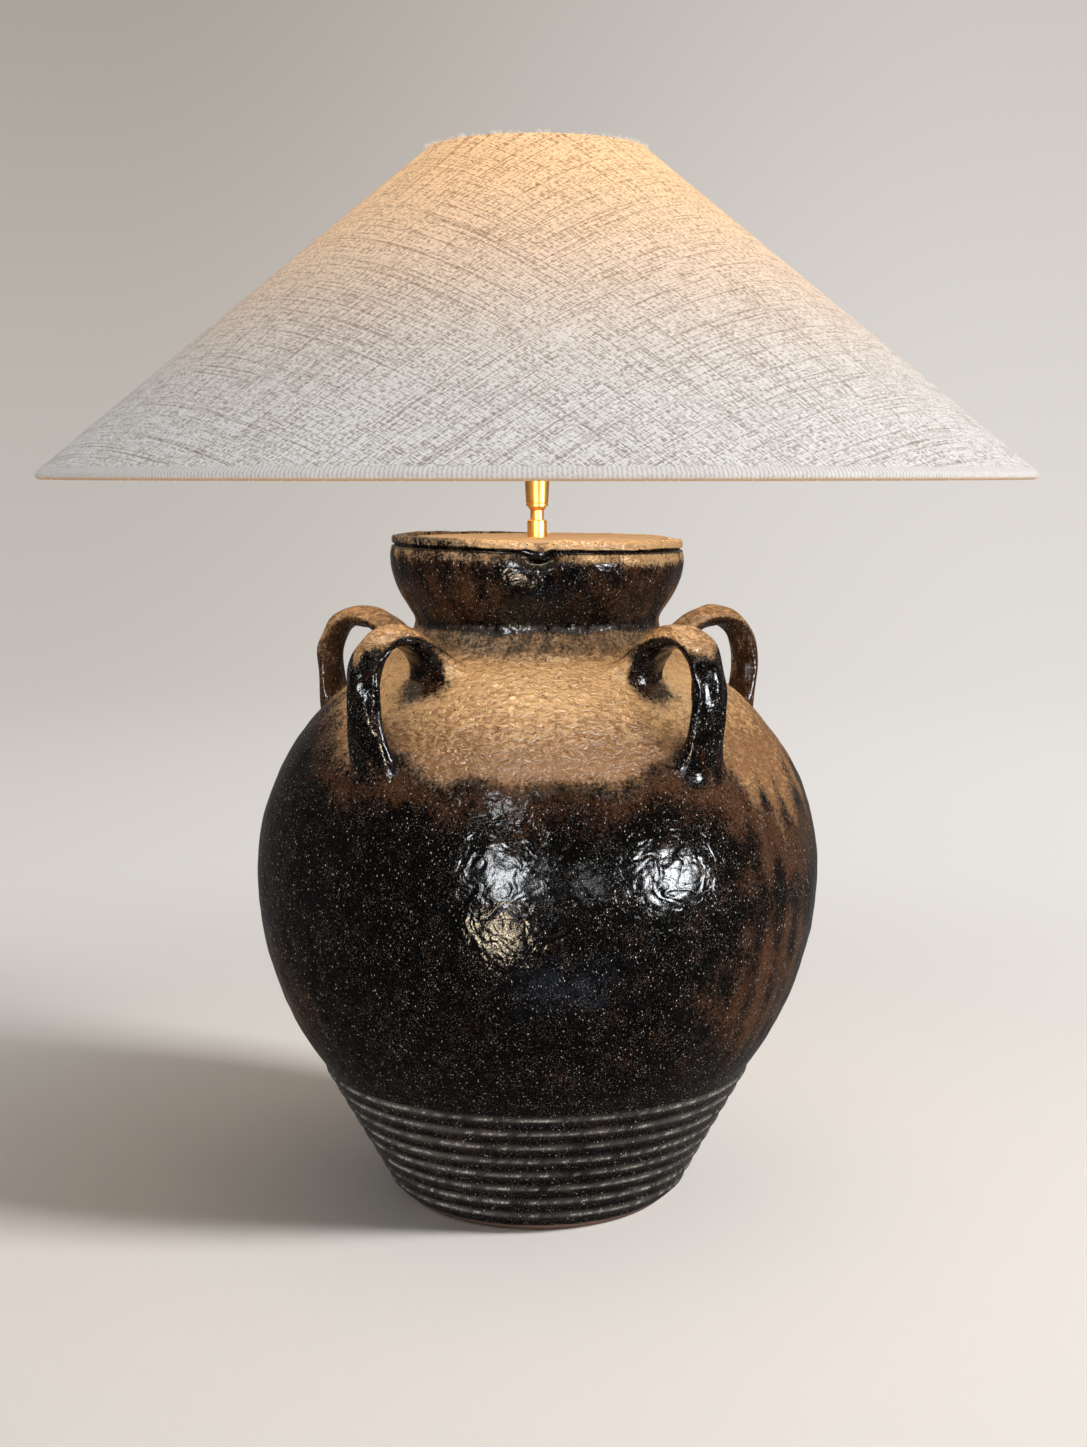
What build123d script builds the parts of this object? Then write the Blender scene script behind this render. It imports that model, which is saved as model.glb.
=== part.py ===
from build123d import *
import os
from math import acos, asin, cos, degrees, pi, sin, sqrt

os.makedirs("parts", exist_ok=True)

# A glazed storage jar made into a table lamp. Millimetres, +Z up, the front of the lamp towards -Y.
# The origin is the middle of the foot, on the surface that the lamp stands on.

# Fits
THREAD_GAP = 0.1  # radial gap between the two halves of a thread
SLIP_GAP = 0.2  # radial gap of a piece that is dropped or slid into another
TURN_GAP = 0.1  # gap between faces that rest on each other and turn

# Foot of the jar
FELT_THICK = 1.2
FELT_INSET = 6.0
FOOT_R = 90.3
FOOT_BAND = 6.3  # height of the unglazed band under the ridges
FOOT_BEVEL = 7.5  # how far that band widens upwards
FOOT_RING = 18.0  # width of the ring that the jar stands on
RECESS_DEPTH = 13.0
FLOOR_THICK = 10.0
CORD_NOTCH_R = 5.5

# Body of the jar: a ridged taper, then two ellipses that share the widest circle
WALL = 9.0
TAPER_HEIGHT = 89.0
RIDGES = 8
RIDGE_HEIGHT = 1.6
RIDGE_WIDTH = 6.5
BELLY_R = 189.8
BELLY_RISE = 128.5  # from the top of the taper to the widest circle
BELLY_FALL = 203.0  # half height of the ellipse under the widest circle
SHOULDER_RISE = 169.0  # half height of the ellipse over the widest circle

# Neck and rim of the jar
NECK_R = 82.0
NECK_FLARE_WIDTH = 13.0  # how far outside the neck the shoulder starts to turn up
NECK_RISE = 22.2  # from there to the narrowest circle
NECK_PULL = 7.0  # length of the neck's tangents
RIM_OVERHANG = 16.7
RIM_RISE = 43.2  # from the narrowest to the widest circle of the rim
RIM_PULL = 25.0
RIM_BAND = 5.0
GROOVE_HEIGHT = 2.2
GROOVE_DEPTH = 2.0
LIP_INSET = 1.1
LIP_HEIGHT = 5.2
LIP_ROUND = 2.2
LIP_WALL = 9.6
LEDGE = 8.0  # width of the gallery that carries the closing disc

# Strap handles, by their turn from the front towards the lamp's left (-) or right (+)
HANDLE_TURNS = {
    "handle_front_left": -38.0,
    "handle_front_right": 38.0,
    "handle_back_left": -120.0,
    "handle_back_right": 120.0,
}
HANDLE_TOP_DROP = 6.0  # upper root under the spread of the neck
HANDLE_LOW_DROP = 61.0  # lower root under the spread of the neck
HANDLE_SINK = 5.0  # how far the strap's ends start inside the wall
HANDLE_UPPER_OUT = 26.0  # pull of the strap at its upper root
HANDLE_UPPER_RISE = 50.0
HANDLE_LOWER_OUT = 42.0  # pull of the strap at its lower root
HANDLE_LOWER_RISE = 98.0
STRAP_WIDTH = 25.0
STRAP_THICK = 14.0
ROOT_FLARE_TOP = 13.0  # how much the strap widens each side at its upper root
ROOT_FLARE_LOW = 4.0
ROOT_EXTRA_THICK = 2.0
STRAP_SECTIONS = 9

# Closing disc in the mouth, and the pipe that ties it to the foot
CAP_THICK = 12.0
CAP_SINK = 0.6
CAP_ROUND = 1.5
GASKET_THICK = 1.5
PIPE_R = 5.0
PIPE_WALL = 1.2
PIPE_PROUD = 2.0
PIPE_ENGAGE = 6.0  # length of pipe screwed into the swivel's collar
WASHER_R = 30.0
WASHER_THICK = 2.0
NUT_FLATS = 17.0
NUT_THICK = 5.0

# Ball swivel
COLLAR_WALL = 1.4
COLLAR_HEIGHT = 11.7
COLLAR_CHAMFER = 0.8
BALL_R = 6.5
BALL_RISE = 10.8  # from the collar to the ball's centre
SHANK_R = 4.45
SHANK_ENGAGE = 5.0
WIRE_R = 2.2
CUP_WALL = 0.8
CUP_LIP_DROP = 1.8  # the crimped lip under the ball's centre
CUP_RISE = 15.5  # the cup's top over the ball's centre
CUP_TAPER = 0.8
CUP_FLARE = 0.35
CUP_GROOVE = 0.35
CUP_GROOVE_RISE = 1.5
SEAT_LOW = 3.4  # the pressure ring, over the ball's centre
SEAT_HIGH = 7.2
SPRING_RISE = 2.0
SPRING_THICK = 0.7
BUSH_WALL = 1.55

# Lamp holder
SHEET = 0.9
HUB_R = 9.0
HUB_HEIGHT = 6.8
DOME_RISE = 9.0
SKIRT_HEIGHT = 6.0
SHELL_HEIGHT = 49.0
SHELL_BEAD = 0.8
LINER_THICK = 0.8
CORE_HEIGHT = 30.0
CORE_BORE_R = 3.0
SCREW_R = 13.1  # radius of the bulb's screw cap
SCREW_GAP = 0.3
SCREW_SHEET = 0.5
SCREW_HEIGHT = 24.0
CONTACT_R = 4.5
CONTACT_THICK = 1.5
KEY_STEM_R = 2.2
KEY_RISE = 12.0  # the key's axis over the top of the dome
KEY_DEPTH = 7.0  # length of the stem in the core
KEY_REACH = 12.0  # length of the stem outside the shell
KEY_WIDTH = 14.0
KEY_HEIGHT = 9.0
KEY_THICK = 5.0

# Bulb
BULB_CONTACT_RISE = 3.5
BULB_CAP_HEIGHT = 23.0
BULB_CAP_SHEET = 0.4
GLASS_WALL = 0.8
GLASS_IN_CAP = 5.0
GLOBE_R = 30.0
GLOBE_RISE = 56.0  # the globe's centre over the foot of the glass
STEM_R = 3.0
STEM_HEIGHT = 34.0
FILAMENT_HEIGHT = 36.0
FILAMENT_R = 0.9
FILAMENT_RING_R = 4.2
FILAMENT_STICKS = 4

# Harp with its saddle and locking sleeves
SADDLE_WIDTH = 12.0
SADDLE_THICK = 1.6
SADDLE_NUT_THICK = 3.0
POST_R = 3.6
POST_HEIGHT = 6.5
PIN_HEIGHT = 7.0
HARP_WIRE_R = 2.25
HARP_FOOT = 28.8  # half width at the saddle
HARP_HALF = 62.0  # half width round the bulb
HARP_HEIGHT = 193.6  # from the saddle's underside to the middle of the top wire
HARP_STRAIGHT = 49.0  # height of the first bend over the saddle
HARP_SPREAD = 44.0  # height over which the legs spread
HARP_CROWN = 41.0  # height over which they draw in again
HARP_TOP_HALF = 34.0
HARP_BEND_LOW = 40.0
HARP_BEND_MID = 55.0
HARP_BEND_TOP = 32.0
HARP_PLATE_R = 8.0
STUD_R = 3.0
STUD_HEIGHT = 13.0
SLEEVE_WALL = 1.2
SLEEVE_LENGTH = 13.0

# Shade
SHADE_R = 325.0  # outside the lower hem
SHADE_TOP_R = 73.5  # outside the upper hem
SHADE_HEIGHT = 213.0
HEM_R = 3.0
TOP_HEM_R = 2.6
RING_WIRE_R = 2.1
TOP_WIRE_R = 1.8
LINEN_THICK = 1.0
SHADE_LINER_THICK = 0.5
HEM_SLIT = 0.8
SPIDER_ARMS = 3
SPIDER_ARM_R = 1.6
SPIDER_DROP = 13.0  # the hub's middle under the top ring
SPIDER_WELD_DROP = 0.5  # the rods' ends under the middle of the top ring
SPIDER_HUB_R = 9.0
SPIDER_HUB_THICK = 4.0

# Finial
FINIAL_R = 7.0
FINIAL_BASE = 3.0
FINIAL_NECK_R = 4.4
FINIAL_NECK = 3.0
FINIAL_KNOB_R = 7.0
FINIAL_CAVITY = 1.0  # free depth over the stud

# Heights of the jar
z_foot = FELT_THICK
z_recess = z_foot + RECESS_DEPTH
z_floor = z_recess + FLOOR_THICK
z_taper_low = z_foot + FOOT_BAND
z_taper_high = z_taper_low + TAPER_HEIGHT
z_belly = z_taper_high + BELLY_RISE


def ellipse_rise(half_width, half_height, radius):
    """Height over an ellipse's centre at the given radius."""
    return half_height * sqrt(1 - (radius / half_width) ** 2)


def ellipse_radius(half_width, half_height, rise):
    """Radius of an ellipse at the given height over or under its centre."""
    return half_width * sqrt(1 - (rise / half_height) ** 2)


spread_r = NECK_R + NECK_FLARE_WIDTH
z_spread = z_belly + ellipse_rise(BELLY_R, SHOULDER_RISE, spread_r)
z_waist = z_spread + NECK_RISE
rim_r = NECK_R + RIM_OVERHANG
z_rim = z_waist + RIM_RISE
z_groove = z_rim + RIM_BAND
z_lip_low = z_groove + GROOVE_HEIGHT
z_lip = z_lip_low + LIP_HEIGHT
lip_r = rim_r - LIP_INSET
mouth_r = lip_r - LIP_WALL
ledge_r = mouth_r - LEDGE
z_cap_top = z_lip - CAP_SINK
z_cap_low = z_cap_top - CAP_THICK
z_ledge = z_cap_low - GASKET_THICK

# Radii of the jar
taper_low_r = FOOT_R + FOOT_BEVEL
taper_high_r = ellipse_radius(BELLY_R, BELLY_FALL, BELLY_RISE)
taper = Vector(taper_high_r - taper_low_r, TAPER_HEIGHT)
taper_way = taper.normalized()
taper_out = Vector(taper_way.Y, -taper_way.X)
recess_r = FOOT_R - FOOT_RING
pipe_hole_r = PIPE_R + SLIP_GAP
inner_neck_r = NECK_R - WALL
inner_belly_r = BELLY_R - WALL
inner_rise = SHOULDER_RISE - WALL
inner_fall = BELLY_FALL - WALL
inner_taper_r = ellipse_radius(inner_belly_r, inner_fall, BELLY_RISE)
taper_slope = taper.X / taper.Y
inner_floor_r = inner_taper_r - taper_slope * (z_taper_high - z_floor)
z_inner_neck = z_belly + ellipse_rise(inner_belly_r, inner_rise, inner_neck_r)


def ellipse_angle(half_width, radius):
    """Angle, measured on the ellipse's own circle, at which it has the given radius."""
    return degrees(acos(radius / half_width))


def belly_arc(half_width, half_height, angle):
    """Part of an ellipse about the belly's centre, from its widest circle up (+) or down (-)."""
    return EllipticalCenterArc((0, z_belly), half_width, half_height, start_angle=0, arc_size=angle)


def body_wall():
    """The jar's outside from the inner edge of its foot to the narrowest circle of its neck."""
    Polyline((recess_r, z_foot), (FOOT_R, z_foot), (taper_low_r, z_taper_low))
    start = Vector(taper_low_r, z_taper_low)
    pitch = taper.length / RIDGES
    flat = (pitch - RIDGE_WIDTH) / 2
    for i in range(RIDGES):
        cell = start + taper_way * (pitch * i)
        ridge_low = cell + taper_way * flat
        ridge_high = ridge_low + taper_way * RIDGE_WIDTH
        crest = (ridge_low + ridge_high) * 0.5 + taper_out * RIDGE_HEIGHT
        Line(cell, ridge_low)
        ThreePointArc(ridge_low, crest, ridge_high)
        Line(ridge_high, cell + taper_way * pitch)
    belly_arc(BELLY_R, BELLY_FALL, -ellipse_angle(BELLY_R, taper_high_r))
    shoulder = belly_arc(BELLY_R, SHOULDER_RISE, ellipse_angle(BELLY_R, spread_r))
    spread = Vector(spread_r, z_spread)
    waist = Vector(NECK_R, z_waist)
    Bezier(spread, spread + (shoulder % 1) * NECK_PULL, waist - Vector(0, NECK_PULL), waist)


def rim_wall():
    """The rim's outside from the narrowest circle of the neck to the inner edge of the lip."""
    waist = Vector(NECK_R, z_waist)
    rim = Vector(rim_r, z_rim)
    upwards = Vector(0, 1)
    Bezier(waist, waist + upwards * NECK_PULL, rim - upwards * RIM_PULL, rim)
    TangentArc(rim, (lip_r, z_groove), tangent=upwards)
    Polyline(
        (lip_r, z_groove),
        (lip_r - GROOVE_DEPTH, z_groove + GROOVE_HEIGHT / 2),
        (lip_r, z_lip_low),
        (lip_r, z_lip - LIP_ROUND),
    )
    TangentArc((lip_r, z_lip - LIP_ROUND), (lip_r - LIP_ROUND, z_lip), tangent=upwards)
    Line((lip_r - LIP_ROUND, z_lip), (mouth_r, z_lip))


# Heights and radii of the pieces on the jar's axis
z_nut = z_recess - WASHER_THICK
z_pipe_low = z_nut - NUT_THICK - PIPE_PROUD
z_pipe_high = z_cap_top + PIPE_ENGAGE
pipe_bore_r = PIPE_R - PIPE_WALL
thread_r = PIPE_R + THREAD_GAP
collar_r = thread_r + COLLAR_WALL
z_collar = z_cap_top + COLLAR_HEIGHT
z_ball = z_collar + BALL_RISE
socket_r = BALL_R + TURN_GAP
bush_r = thread_r + BUSH_WALL
z_seat = z_ball + SEAT_HIGH
z_bush = z_seat + SPRING_RISE
z_cup = z_ball + CUP_RISE
z_saddle = z_cup + SADDLE_THICK
z_hub = z_saddle + SADDLE_NUT_THICK
z_dome = z_hub + HUB_HEIGHT
z_skirt = z_dome + DOME_RISE

# Radii of the lamp holder, from the bulb's screw cap outwards
screw_in_r = SCREW_R + SCREW_GAP
screw_out_r = screw_in_r + SCREW_SHEET
core_r = screw_out_r + SLIP_GAP
liner_in_r = core_r + SLIP_GAP
liner_out_r = liner_in_r + LINER_THICK
shell_in_r = liner_out_r + SLIP_GAP
shell_out_r = shell_in_r + SHEET
skirt_in_r = shell_out_r + SLIP_GAP
skirt_r = skirt_in_r + SHEET

# Heights of the lamp holder and the bulb
z_core_low = z_skirt - ellipse_rise(skirt_in_r - HUB_R, DOME_RISE - SHEET, core_r - HUB_R) + SLIP_GAP
z_core = z_core_low + CORE_HEIGHT
z_shell = z_skirt + SHELL_HEIGHT
z_key = z_skirt + KEY_RISE
z_bulb = z_core + CONTACT_THICK + TURN_GAP
z_bulb_cap = z_bulb + BULB_CONTACT_RISE
z_bulb_rim = z_bulb_cap + BULB_CAP_HEIGHT
z_glass = z_bulb_rim - GLASS_IN_CAP
z_globe = z_glass + GLOBE_RISE
glass_neck_r = SCREW_R - BULB_CAP_SHEET - THREAD_GAP

# Heights of the harp, the shade and the finial
z_post = z_cup + POST_HEIGHT
z_pin = z_post + PIN_HEIGHT
z_harp = z_cup + HARP_HEIGHT
z_plate = z_harp + HARP_WIRE_R
z_spider_low = z_plate + TURN_GAP
z_spider = z_spider_low + SPIDER_HUB_THICK / 2
z_spider_high = z_spider_low + SPIDER_HUB_THICK
z_top_ring = z_spider + SPIDER_DROP
z_low_ring = z_top_ring + TOP_HEM_R - SHADE_HEIGHT + HEM_R
low_ring = Vector(SHADE_R - HEM_R, z_low_ring)
top_ring = Vector(SHADE_TOP_R - TOP_HEM_R, z_top_ring)
slant = top_ring - low_ring
slant_way = slant.normalized()
slant_out = Vector(slant_way.Y, -slant_way.X)
z_finial = z_spider_high + TURN_GAP


def finish(builder, name):
    """Label a finished piece and write it under its name."""
    builder.part.label = name
    export_step(builder.part, f"parts/{name}.step")


def ring(height, outer_r, inner_r, thickness):
    """A flat ring or tube about the lamp's axis, standing on the given height."""
    with BuildSketch(Plane.XY.offset(height)) as profile:
        Circle(outer_r)
        Circle(inner_r, mode=Mode.SUBTRACT)
    extrude(profile.sketch, amount=thickness)


def hex_nut(height, flats, bore_r, thickness):
    """A hexagonal nut about the lamp's axis, standing on the given height."""
    with BuildSketch(Plane.XY.offset(height)) as profile:
        RegularPolygon(flats / 2, 6, major_radius=False)
        Circle(bore_r, mode=Mode.SUBTRACT)
    extrude(profile.sketch, amount=thickness)


# Jar, thrown in two parts: the body, and the rim that is luted on at the neck
with BuildPart() as jar_body:
    with BuildSketch(Plane.XZ):
        with BuildLine():
            body_wall()
            Polyline((NECK_R, z_waist), (inner_neck_r, z_waist), (inner_neck_r, z_inner_neck))
            belly_arc(inner_belly_r, inner_rise, ellipse_angle(inner_belly_r, inner_neck_r))
            belly_arc(inner_belly_r, inner_fall, -ellipse_angle(inner_belly_r, inner_taper_r))
            Polyline(
                (inner_taper_r, z_taper_high),
                (inner_floor_r, z_floor),
                (pipe_hole_r, z_floor),
                (pipe_hole_r, z_recess),
                (recess_r, z_recess),
                (recess_r, z_foot),
            )
        make_face()
    revolve(axis=Axis.Z)
    # Half-round way out for the lead, at the back of the foot ring
    with BuildSketch(Plane.XZ.offset(CORD_NOTCH_R - recess_r)):
        with Locations((0, z_foot)):
            Circle(CORD_NOTCH_R)
    extrude(amount=-(FOOT_RING + FOOT_BEVEL + 2 * CORD_NOTCH_R), mode=Mode.SUBTRACT)
finish(jar_body, "jar_body")

with BuildPart() as jar_rim:
    with BuildSketch(Plane.XZ):
        with BuildLine():
            rim_wall()
            Polyline(
                (mouth_r, z_lip),
                (mouth_r, z_ledge),
                (ledge_r, z_ledge),
                (inner_neck_r, z_waist),
                (NECK_R, z_waist),
            )
        make_face()
    revolve(axis=Axis.Z)
finish(jar_rim, "jar_rim")

# Strap handles: one pulled strap, oval in section and flared at its roots, trimmed to the jar's outside
with BuildPart() as body_block:
    with BuildSketch(Plane.XZ):
        with BuildLine():
            body_wall()
            Polyline((NECK_R, z_waist), (0, z_waist), (0, z_foot), (recess_r, z_foot))
        make_face()
    revolve(axis=Axis.Z)


def shoulder_point(drop):
    """Point of the shoulder at the given drop under the neck's spread, moved into the wall."""
    z = z_spread - drop
    radius = ellipse_radius(BELLY_R, SHOULDER_RISE, z - z_belly)
    return Vector(radius - HANDLE_SINK, 0, z - HANDLE_SINK)


def root_flare(t):
    """Widening and thickening of the strap at a share t of its length: 1 at a root, 0 along the middle."""
    top = max(0.0, 1 - t / 0.35) ** 2
    low = max(0.0, (t - 0.75) / 0.25) ** 2
    return top, low


with BuildPart() as strap:
    upper_root = shoulder_point(HANDLE_TOP_DROP)
    lower_root = shoulder_point(HANDLE_LOW_DROP)
    upper_pull = Vector(HANDLE_UPPER_OUT, 0, HANDLE_UPPER_RISE)
    lower_pull = Vector(HANDLE_LOWER_OUT, 0, HANDLE_LOWER_RISE)
    with BuildLine() as strap_path:
        Bezier(upper_root, upper_root + upper_pull, lower_root + lower_pull, lower_root)
    for i in range(STRAP_SECTIONS):
        t = i / (STRAP_SECTIONS - 1)
        top, low = root_flare(t)
        half_width = STRAP_WIDTH / 2 + ROOT_FLARE_TOP * top + ROOT_FLARE_LOW * low
        half_thick = STRAP_THICK / 2 + ROOT_EXTRA_THICK * (top + low)
        section = Plane(origin=strap_path.line @ t, x_dir=(0, 1, 0), z_dir=strap_path.line % t)
        with BuildSketch(section):
            Ellipse(half_width, half_thick)
    loft()
    add(body_block.part, mode=Mode.SUBTRACT)

for name, turn in HANDLE_TURNS.items():
    with BuildPart() as handle:
        add(strap.part, rotation=(0, 0, turn - 90))
    finish(handle, name)

# Felt pad under the foot
with BuildPart() as felt_pad:
    with BuildSketch():
        Circle(FOOT_R - FELT_INSET)
    extrude(amount=FELT_THICK)
finish(felt_pad, "felt_pad")

# Pipe with its washer and nut under the jar's floor
with BuildPart() as base_washer:
    ring(z_nut, WASHER_R, PIPE_R + SLIP_GAP, WASHER_THICK)
finish(base_washer, "base_washer")

with BuildPart() as base_nut:
    hex_nut(z_nut - NUT_THICK, NUT_FLATS, thread_r, NUT_THICK)
finish(base_nut, "base_nut")

with BuildPart() as lamp_pipe:
    ring(z_pipe_low, PIPE_R, pipe_bore_r, z_pipe_high - z_pipe_low)
finish(lamp_pipe, "lamp_pipe")

# Closing disc on its gasket, with the nut that locks the pipe to it
with BuildPart() as mouth_gasket:
    ring(z_ledge, mouth_r - SLIP_GAP, ledge_r, GASKET_THICK)
finish(mouth_gasket, "mouth_gasket")

with BuildPart() as mouth_cap:
    ring(z_cap_low, mouth_r - SLIP_GAP, PIPE_R + SLIP_GAP, CAP_THICK)
    fillet(mouth_cap.faces().sort_by(Axis.Z)[-1].outer_wire().edges(), CAP_ROUND)
finish(mouth_cap, "mouth_cap")

with BuildPart() as cap_nut:
    hex_nut(z_cap_low - NUT_THICK, NUT_FLATS, thread_r, NUT_THICK)
finish(cap_nut, "cap_nut")

# Ball swivel: collar on the pipe, ball stud in the collar, crimped cup round the ball
with BuildPart() as swivel_collar:
    with BuildSketch(Plane.XZ):
        with BuildLine():
            Polyline(
                (thread_r, z_cap_top),
                (collar_r, z_cap_top),
                (collar_r, z_collar - COLLAR_CHAMFER),
                (collar_r - COLLAR_CHAMFER, z_collar),
                (SHANK_R + THREAD_GAP, z_collar),
                (SHANK_R + THREAD_GAP, z_collar - SHANK_ENGAGE),
                (thread_r, z_collar - SHANK_ENGAGE),
                close=True,
            )
        make_face()
    revolve(axis=Axis.Z)
finish(swivel_collar, "swivel_collar")

with BuildPart() as swivel_stud:
    with BuildSketch(Plane.XZ):
        with BuildLine():
            shank_end = (SHANK_R, z_ball - sqrt(BALL_R**2 - SHANK_R**2))
            crown = (WIRE_R, z_ball + sqrt(BALL_R**2 - WIRE_R**2))
            z_shank = z_collar - SHANK_ENGAGE
            Polyline(crown, (WIRE_R, z_shank), (SHANK_R, z_shank), shank_end)
            ThreePointArc(shank_end, (BALL_R, z_ball), crown)
        make_face()
    revolve(axis=Axis.Z)
finish(swivel_stud, "swivel_stud")

with BuildPart() as swivel_cup:
    z_cup_lip = z_ball - CUP_LIP_DROP
    lip_open_r = sqrt(socket_r**2 - CUP_LIP_DROP**2)
    cup_r = socket_r + CUP_WALL
    z_groove_cup = z_cup_lip + CUP_GROOVE_RISE
    with BuildSketch(Plane.XZ):
        with BuildLine():
            Polyline(
                (lip_open_r, z_cup_lip),
                (cup_r, z_cup_lip),
                (cup_r, z_groove_cup),
                (cup_r - CUP_GROOVE, z_groove_cup + CUP_GROOVE),
                (cup_r, z_groove_cup + 2 * CUP_GROOVE),
                (cup_r + CUP_TAPER, z_cup - 2 * CUP_FLARE),
                (cup_r + CUP_TAPER + CUP_FLARE, z_cup - CUP_FLARE),
                (cup_r + CUP_TAPER + CUP_FLARE, z_cup),
                (bush_r + THREAD_GAP, z_cup),
                (bush_r + THREAD_GAP, z_bush),
                (socket_r, z_bush),
                (socket_r, z_ball),
            )
            sink = asin(CUP_LIP_DROP / socket_r) / 2
            ThreePointArc(
                (socket_r, z_ball),
                (socket_r * cos(sink), z_ball - socket_r * sin(sink)),
                (lip_open_r, z_cup_lip),
            )
        make_face()
    revolve(axis=Axis.Z)
finish(swivel_cup, "swivel_cup")

with BuildPart() as swivel_seat:
    ring(z_ball + SEAT_LOW, socket_r - SLIP_GAP, WIRE_R + SLIP_GAP, SEAT_HIGH - SEAT_LOW)
    with Locations((0, 0, z_ball)):
        Sphere(socket_r, mode=Mode.SUBTRACT)
finish(swivel_seat, "swivel_seat")

with BuildPart() as swivel_spring:
    with BuildSketch(Plane.XZ):
        with BuildLine():
            Polyline(
                (WIRE_R + PIPE_WALL, z_seat),
                (socket_r - 2 * SLIP_GAP, z_bush - SPRING_THICK),
                (socket_r - 2 * SLIP_GAP, z_bush),
                (WIRE_R + PIPE_WALL, z_seat + SPRING_THICK),
                close=True,
            )
        make_face()
    revolve(axis=Axis.Z)
finish(swivel_spring, "swivel_spring")

with BuildPart() as swivel_bush:
    ring(z_bush, bush_r, thread_r, z_cup - z_bush)
finish(swivel_bush, "swivel_bush")

with BuildPart() as socket_nipple:
    ring(z_bush, PIPE_R, pipe_bore_r, z_dome - z_bush)
finish(socket_nipple, "socket_nipple")

# Harp: saddle with two pins, lock nut, bent wire with its stud, two locking sleeves
with BuildPart() as harp_saddle:
    with BuildSketch(Plane.XY.offset(z_cup)):
        SlotCenterToCenter(2 * HARP_FOOT, SADDLE_WIDTH)
        Circle(PIPE_R + SLIP_GAP, mode=Mode.SUBTRACT)
    extrude(amount=SADDLE_THICK)
    for radius, height in ((POST_R, POST_HEIGHT), (HARP_WIRE_R, POST_HEIGHT + PIN_HEIGHT)):
        with BuildSketch(Plane.XY.offset(z_cup)):
            with GridLocations(2 * HARP_FOOT, 0, 2, 1):
                Circle(radius)
        extrude(amount=height)
finish(harp_saddle, "harp_saddle")

with BuildPart() as saddle_nut:
    hex_nut(z_saddle, NUT_FLATS, thread_r, SADDLE_NUT_THICK)
finish(saddle_nut, "saddle_nut")

with BuildPart() as harp:
    right_side = [
        (HARP_FOOT, z_pin),
        (HARP_FOOT, z_cup + HARP_STRAIGHT),
        (HARP_HALF, z_cup + HARP_STRAIGHT + HARP_SPREAD),
        (HARP_HALF, z_harp - HARP_CROWN),
        (HARP_TOP_HALF, z_harp),
    ]
    left_side = [(-x, z) for x, z in reversed(right_side)]
    bends = [HARP_BEND_LOW, HARP_BEND_MID, HARP_BEND_MID, HARP_BEND_TOP]
    with BuildLine(Plane.XZ) as harp_path:
        FilletPolyline(*right_side, *left_side, radius=bends + bends[::-1])
    with BuildSketch(Plane.XY.offset(z_pin)):
        with Locations((HARP_FOOT, 0)):
            Circle(HARP_WIRE_R)
    sweep(path=harp_path.line)
    with BuildSketch(Plane.XY.offset(z_harp - HARP_WIRE_R)):
        Circle(HARP_PLATE_R)
    extrude(amount=2 * HARP_WIRE_R)
    with BuildSketch(Plane.XY.offset(z_plate)):
        Circle(STUD_R)
    extrude(amount=STUD_HEIGHT)
finish(harp, "harp")

for name, side in (("harp_sleeve_left", -1), ("harp_sleeve_right", 1)):
    with BuildPart() as harp_sleeve:
        with BuildSketch(Plane.XY.offset(z_post + TURN_GAP)):
            with Locations((side * HARP_FOOT, 0)):
                Circle(HARP_WIRE_R + SLIP_GAP + SLEEVE_WALL)
                Circle(HARP_WIRE_R + SLIP_GAP, mode=Mode.SUBTRACT)
        extrude(amount=SLEEVE_LENGTH)
        fillet(harp_sleeve.faces().sort_by(Axis.Z)[-1].outer_wire().edges(), SLEEVE_WALL / 2)
    finish(harp_sleeve, name)

# Lamp holder: domed cap, shell, insulating liner, core, threaded shell and centre contact
with BuildPart() as socket_cap:
    with BuildSketch(Plane.XZ):
        with BuildLine():
            Polyline(
                (skirt_in_r, z_skirt),
                (skirt_in_r, z_skirt + SKIRT_HEIGHT),
                (skirt_r, z_skirt + SKIRT_HEIGHT),
                (skirt_r, z_skirt),
            )
            dome = (HUB_R, z_skirt)
            EllipticalCenterArc(dome, skirt_r - HUB_R, DOME_RISE, start_angle=-90, arc_size=90)
            EllipticalCenterArc(dome, skirt_in_r - HUB_R, DOME_RISE - SHEET, start_angle=-90, arc_size=90)
            Polyline(
                (HUB_R, z_dome),
                (HUB_R, z_hub),
                (thread_r, z_hub),
                (thread_r, z_dome + SHEET),
                (HUB_R, z_dome + SHEET),
            )
        make_face()
    revolve(axis=Axis.Z)
finish(socket_cap, "socket_cap")


def key_way():
    """Cut the round way of the switch key's stem, from its end in the core out through the shell."""
    with BuildSketch(Plane.XZ.offset(core_r - KEY_DEPTH)) as profile:
        with Locations((0, z_key)):
            Circle(KEY_STEM_R + SLIP_GAP)
    extrude(profile.sketch, amount=KEY_DEPTH + skirt_r - core_r, mode=Mode.SUBTRACT)


with BuildPart() as socket_shell:
    ring(z_skirt, shell_out_r, shell_in_r, SHELL_HEIGHT)
    with BuildSketch(Plane.XZ):
        with Locations((shell_out_r, z_shell - 2 * SHELL_BEAD)):
            Circle(SHELL_BEAD)
    revolve(axis=Axis.Z)
    with BuildSketch(Plane.XY.offset(z_skirt)):
        Circle(shell_in_r)
    extrude(amount=SHELL_HEIGHT, mode=Mode.SUBTRACT)
    key_way()
finish(socket_shell, "socket_shell")

with BuildPart() as socket_liner:
    ring(z_skirt, liner_out_r, liner_in_r, SHELL_HEIGHT)
    key_way()
finish(socket_liner, "socket_liner")

with BuildPart() as socket_core:
    ring(z_core_low, core_r, CORE_BORE_R, CORE_HEIGHT)
    key_way()
finish(socket_core, "socket_core")

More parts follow.
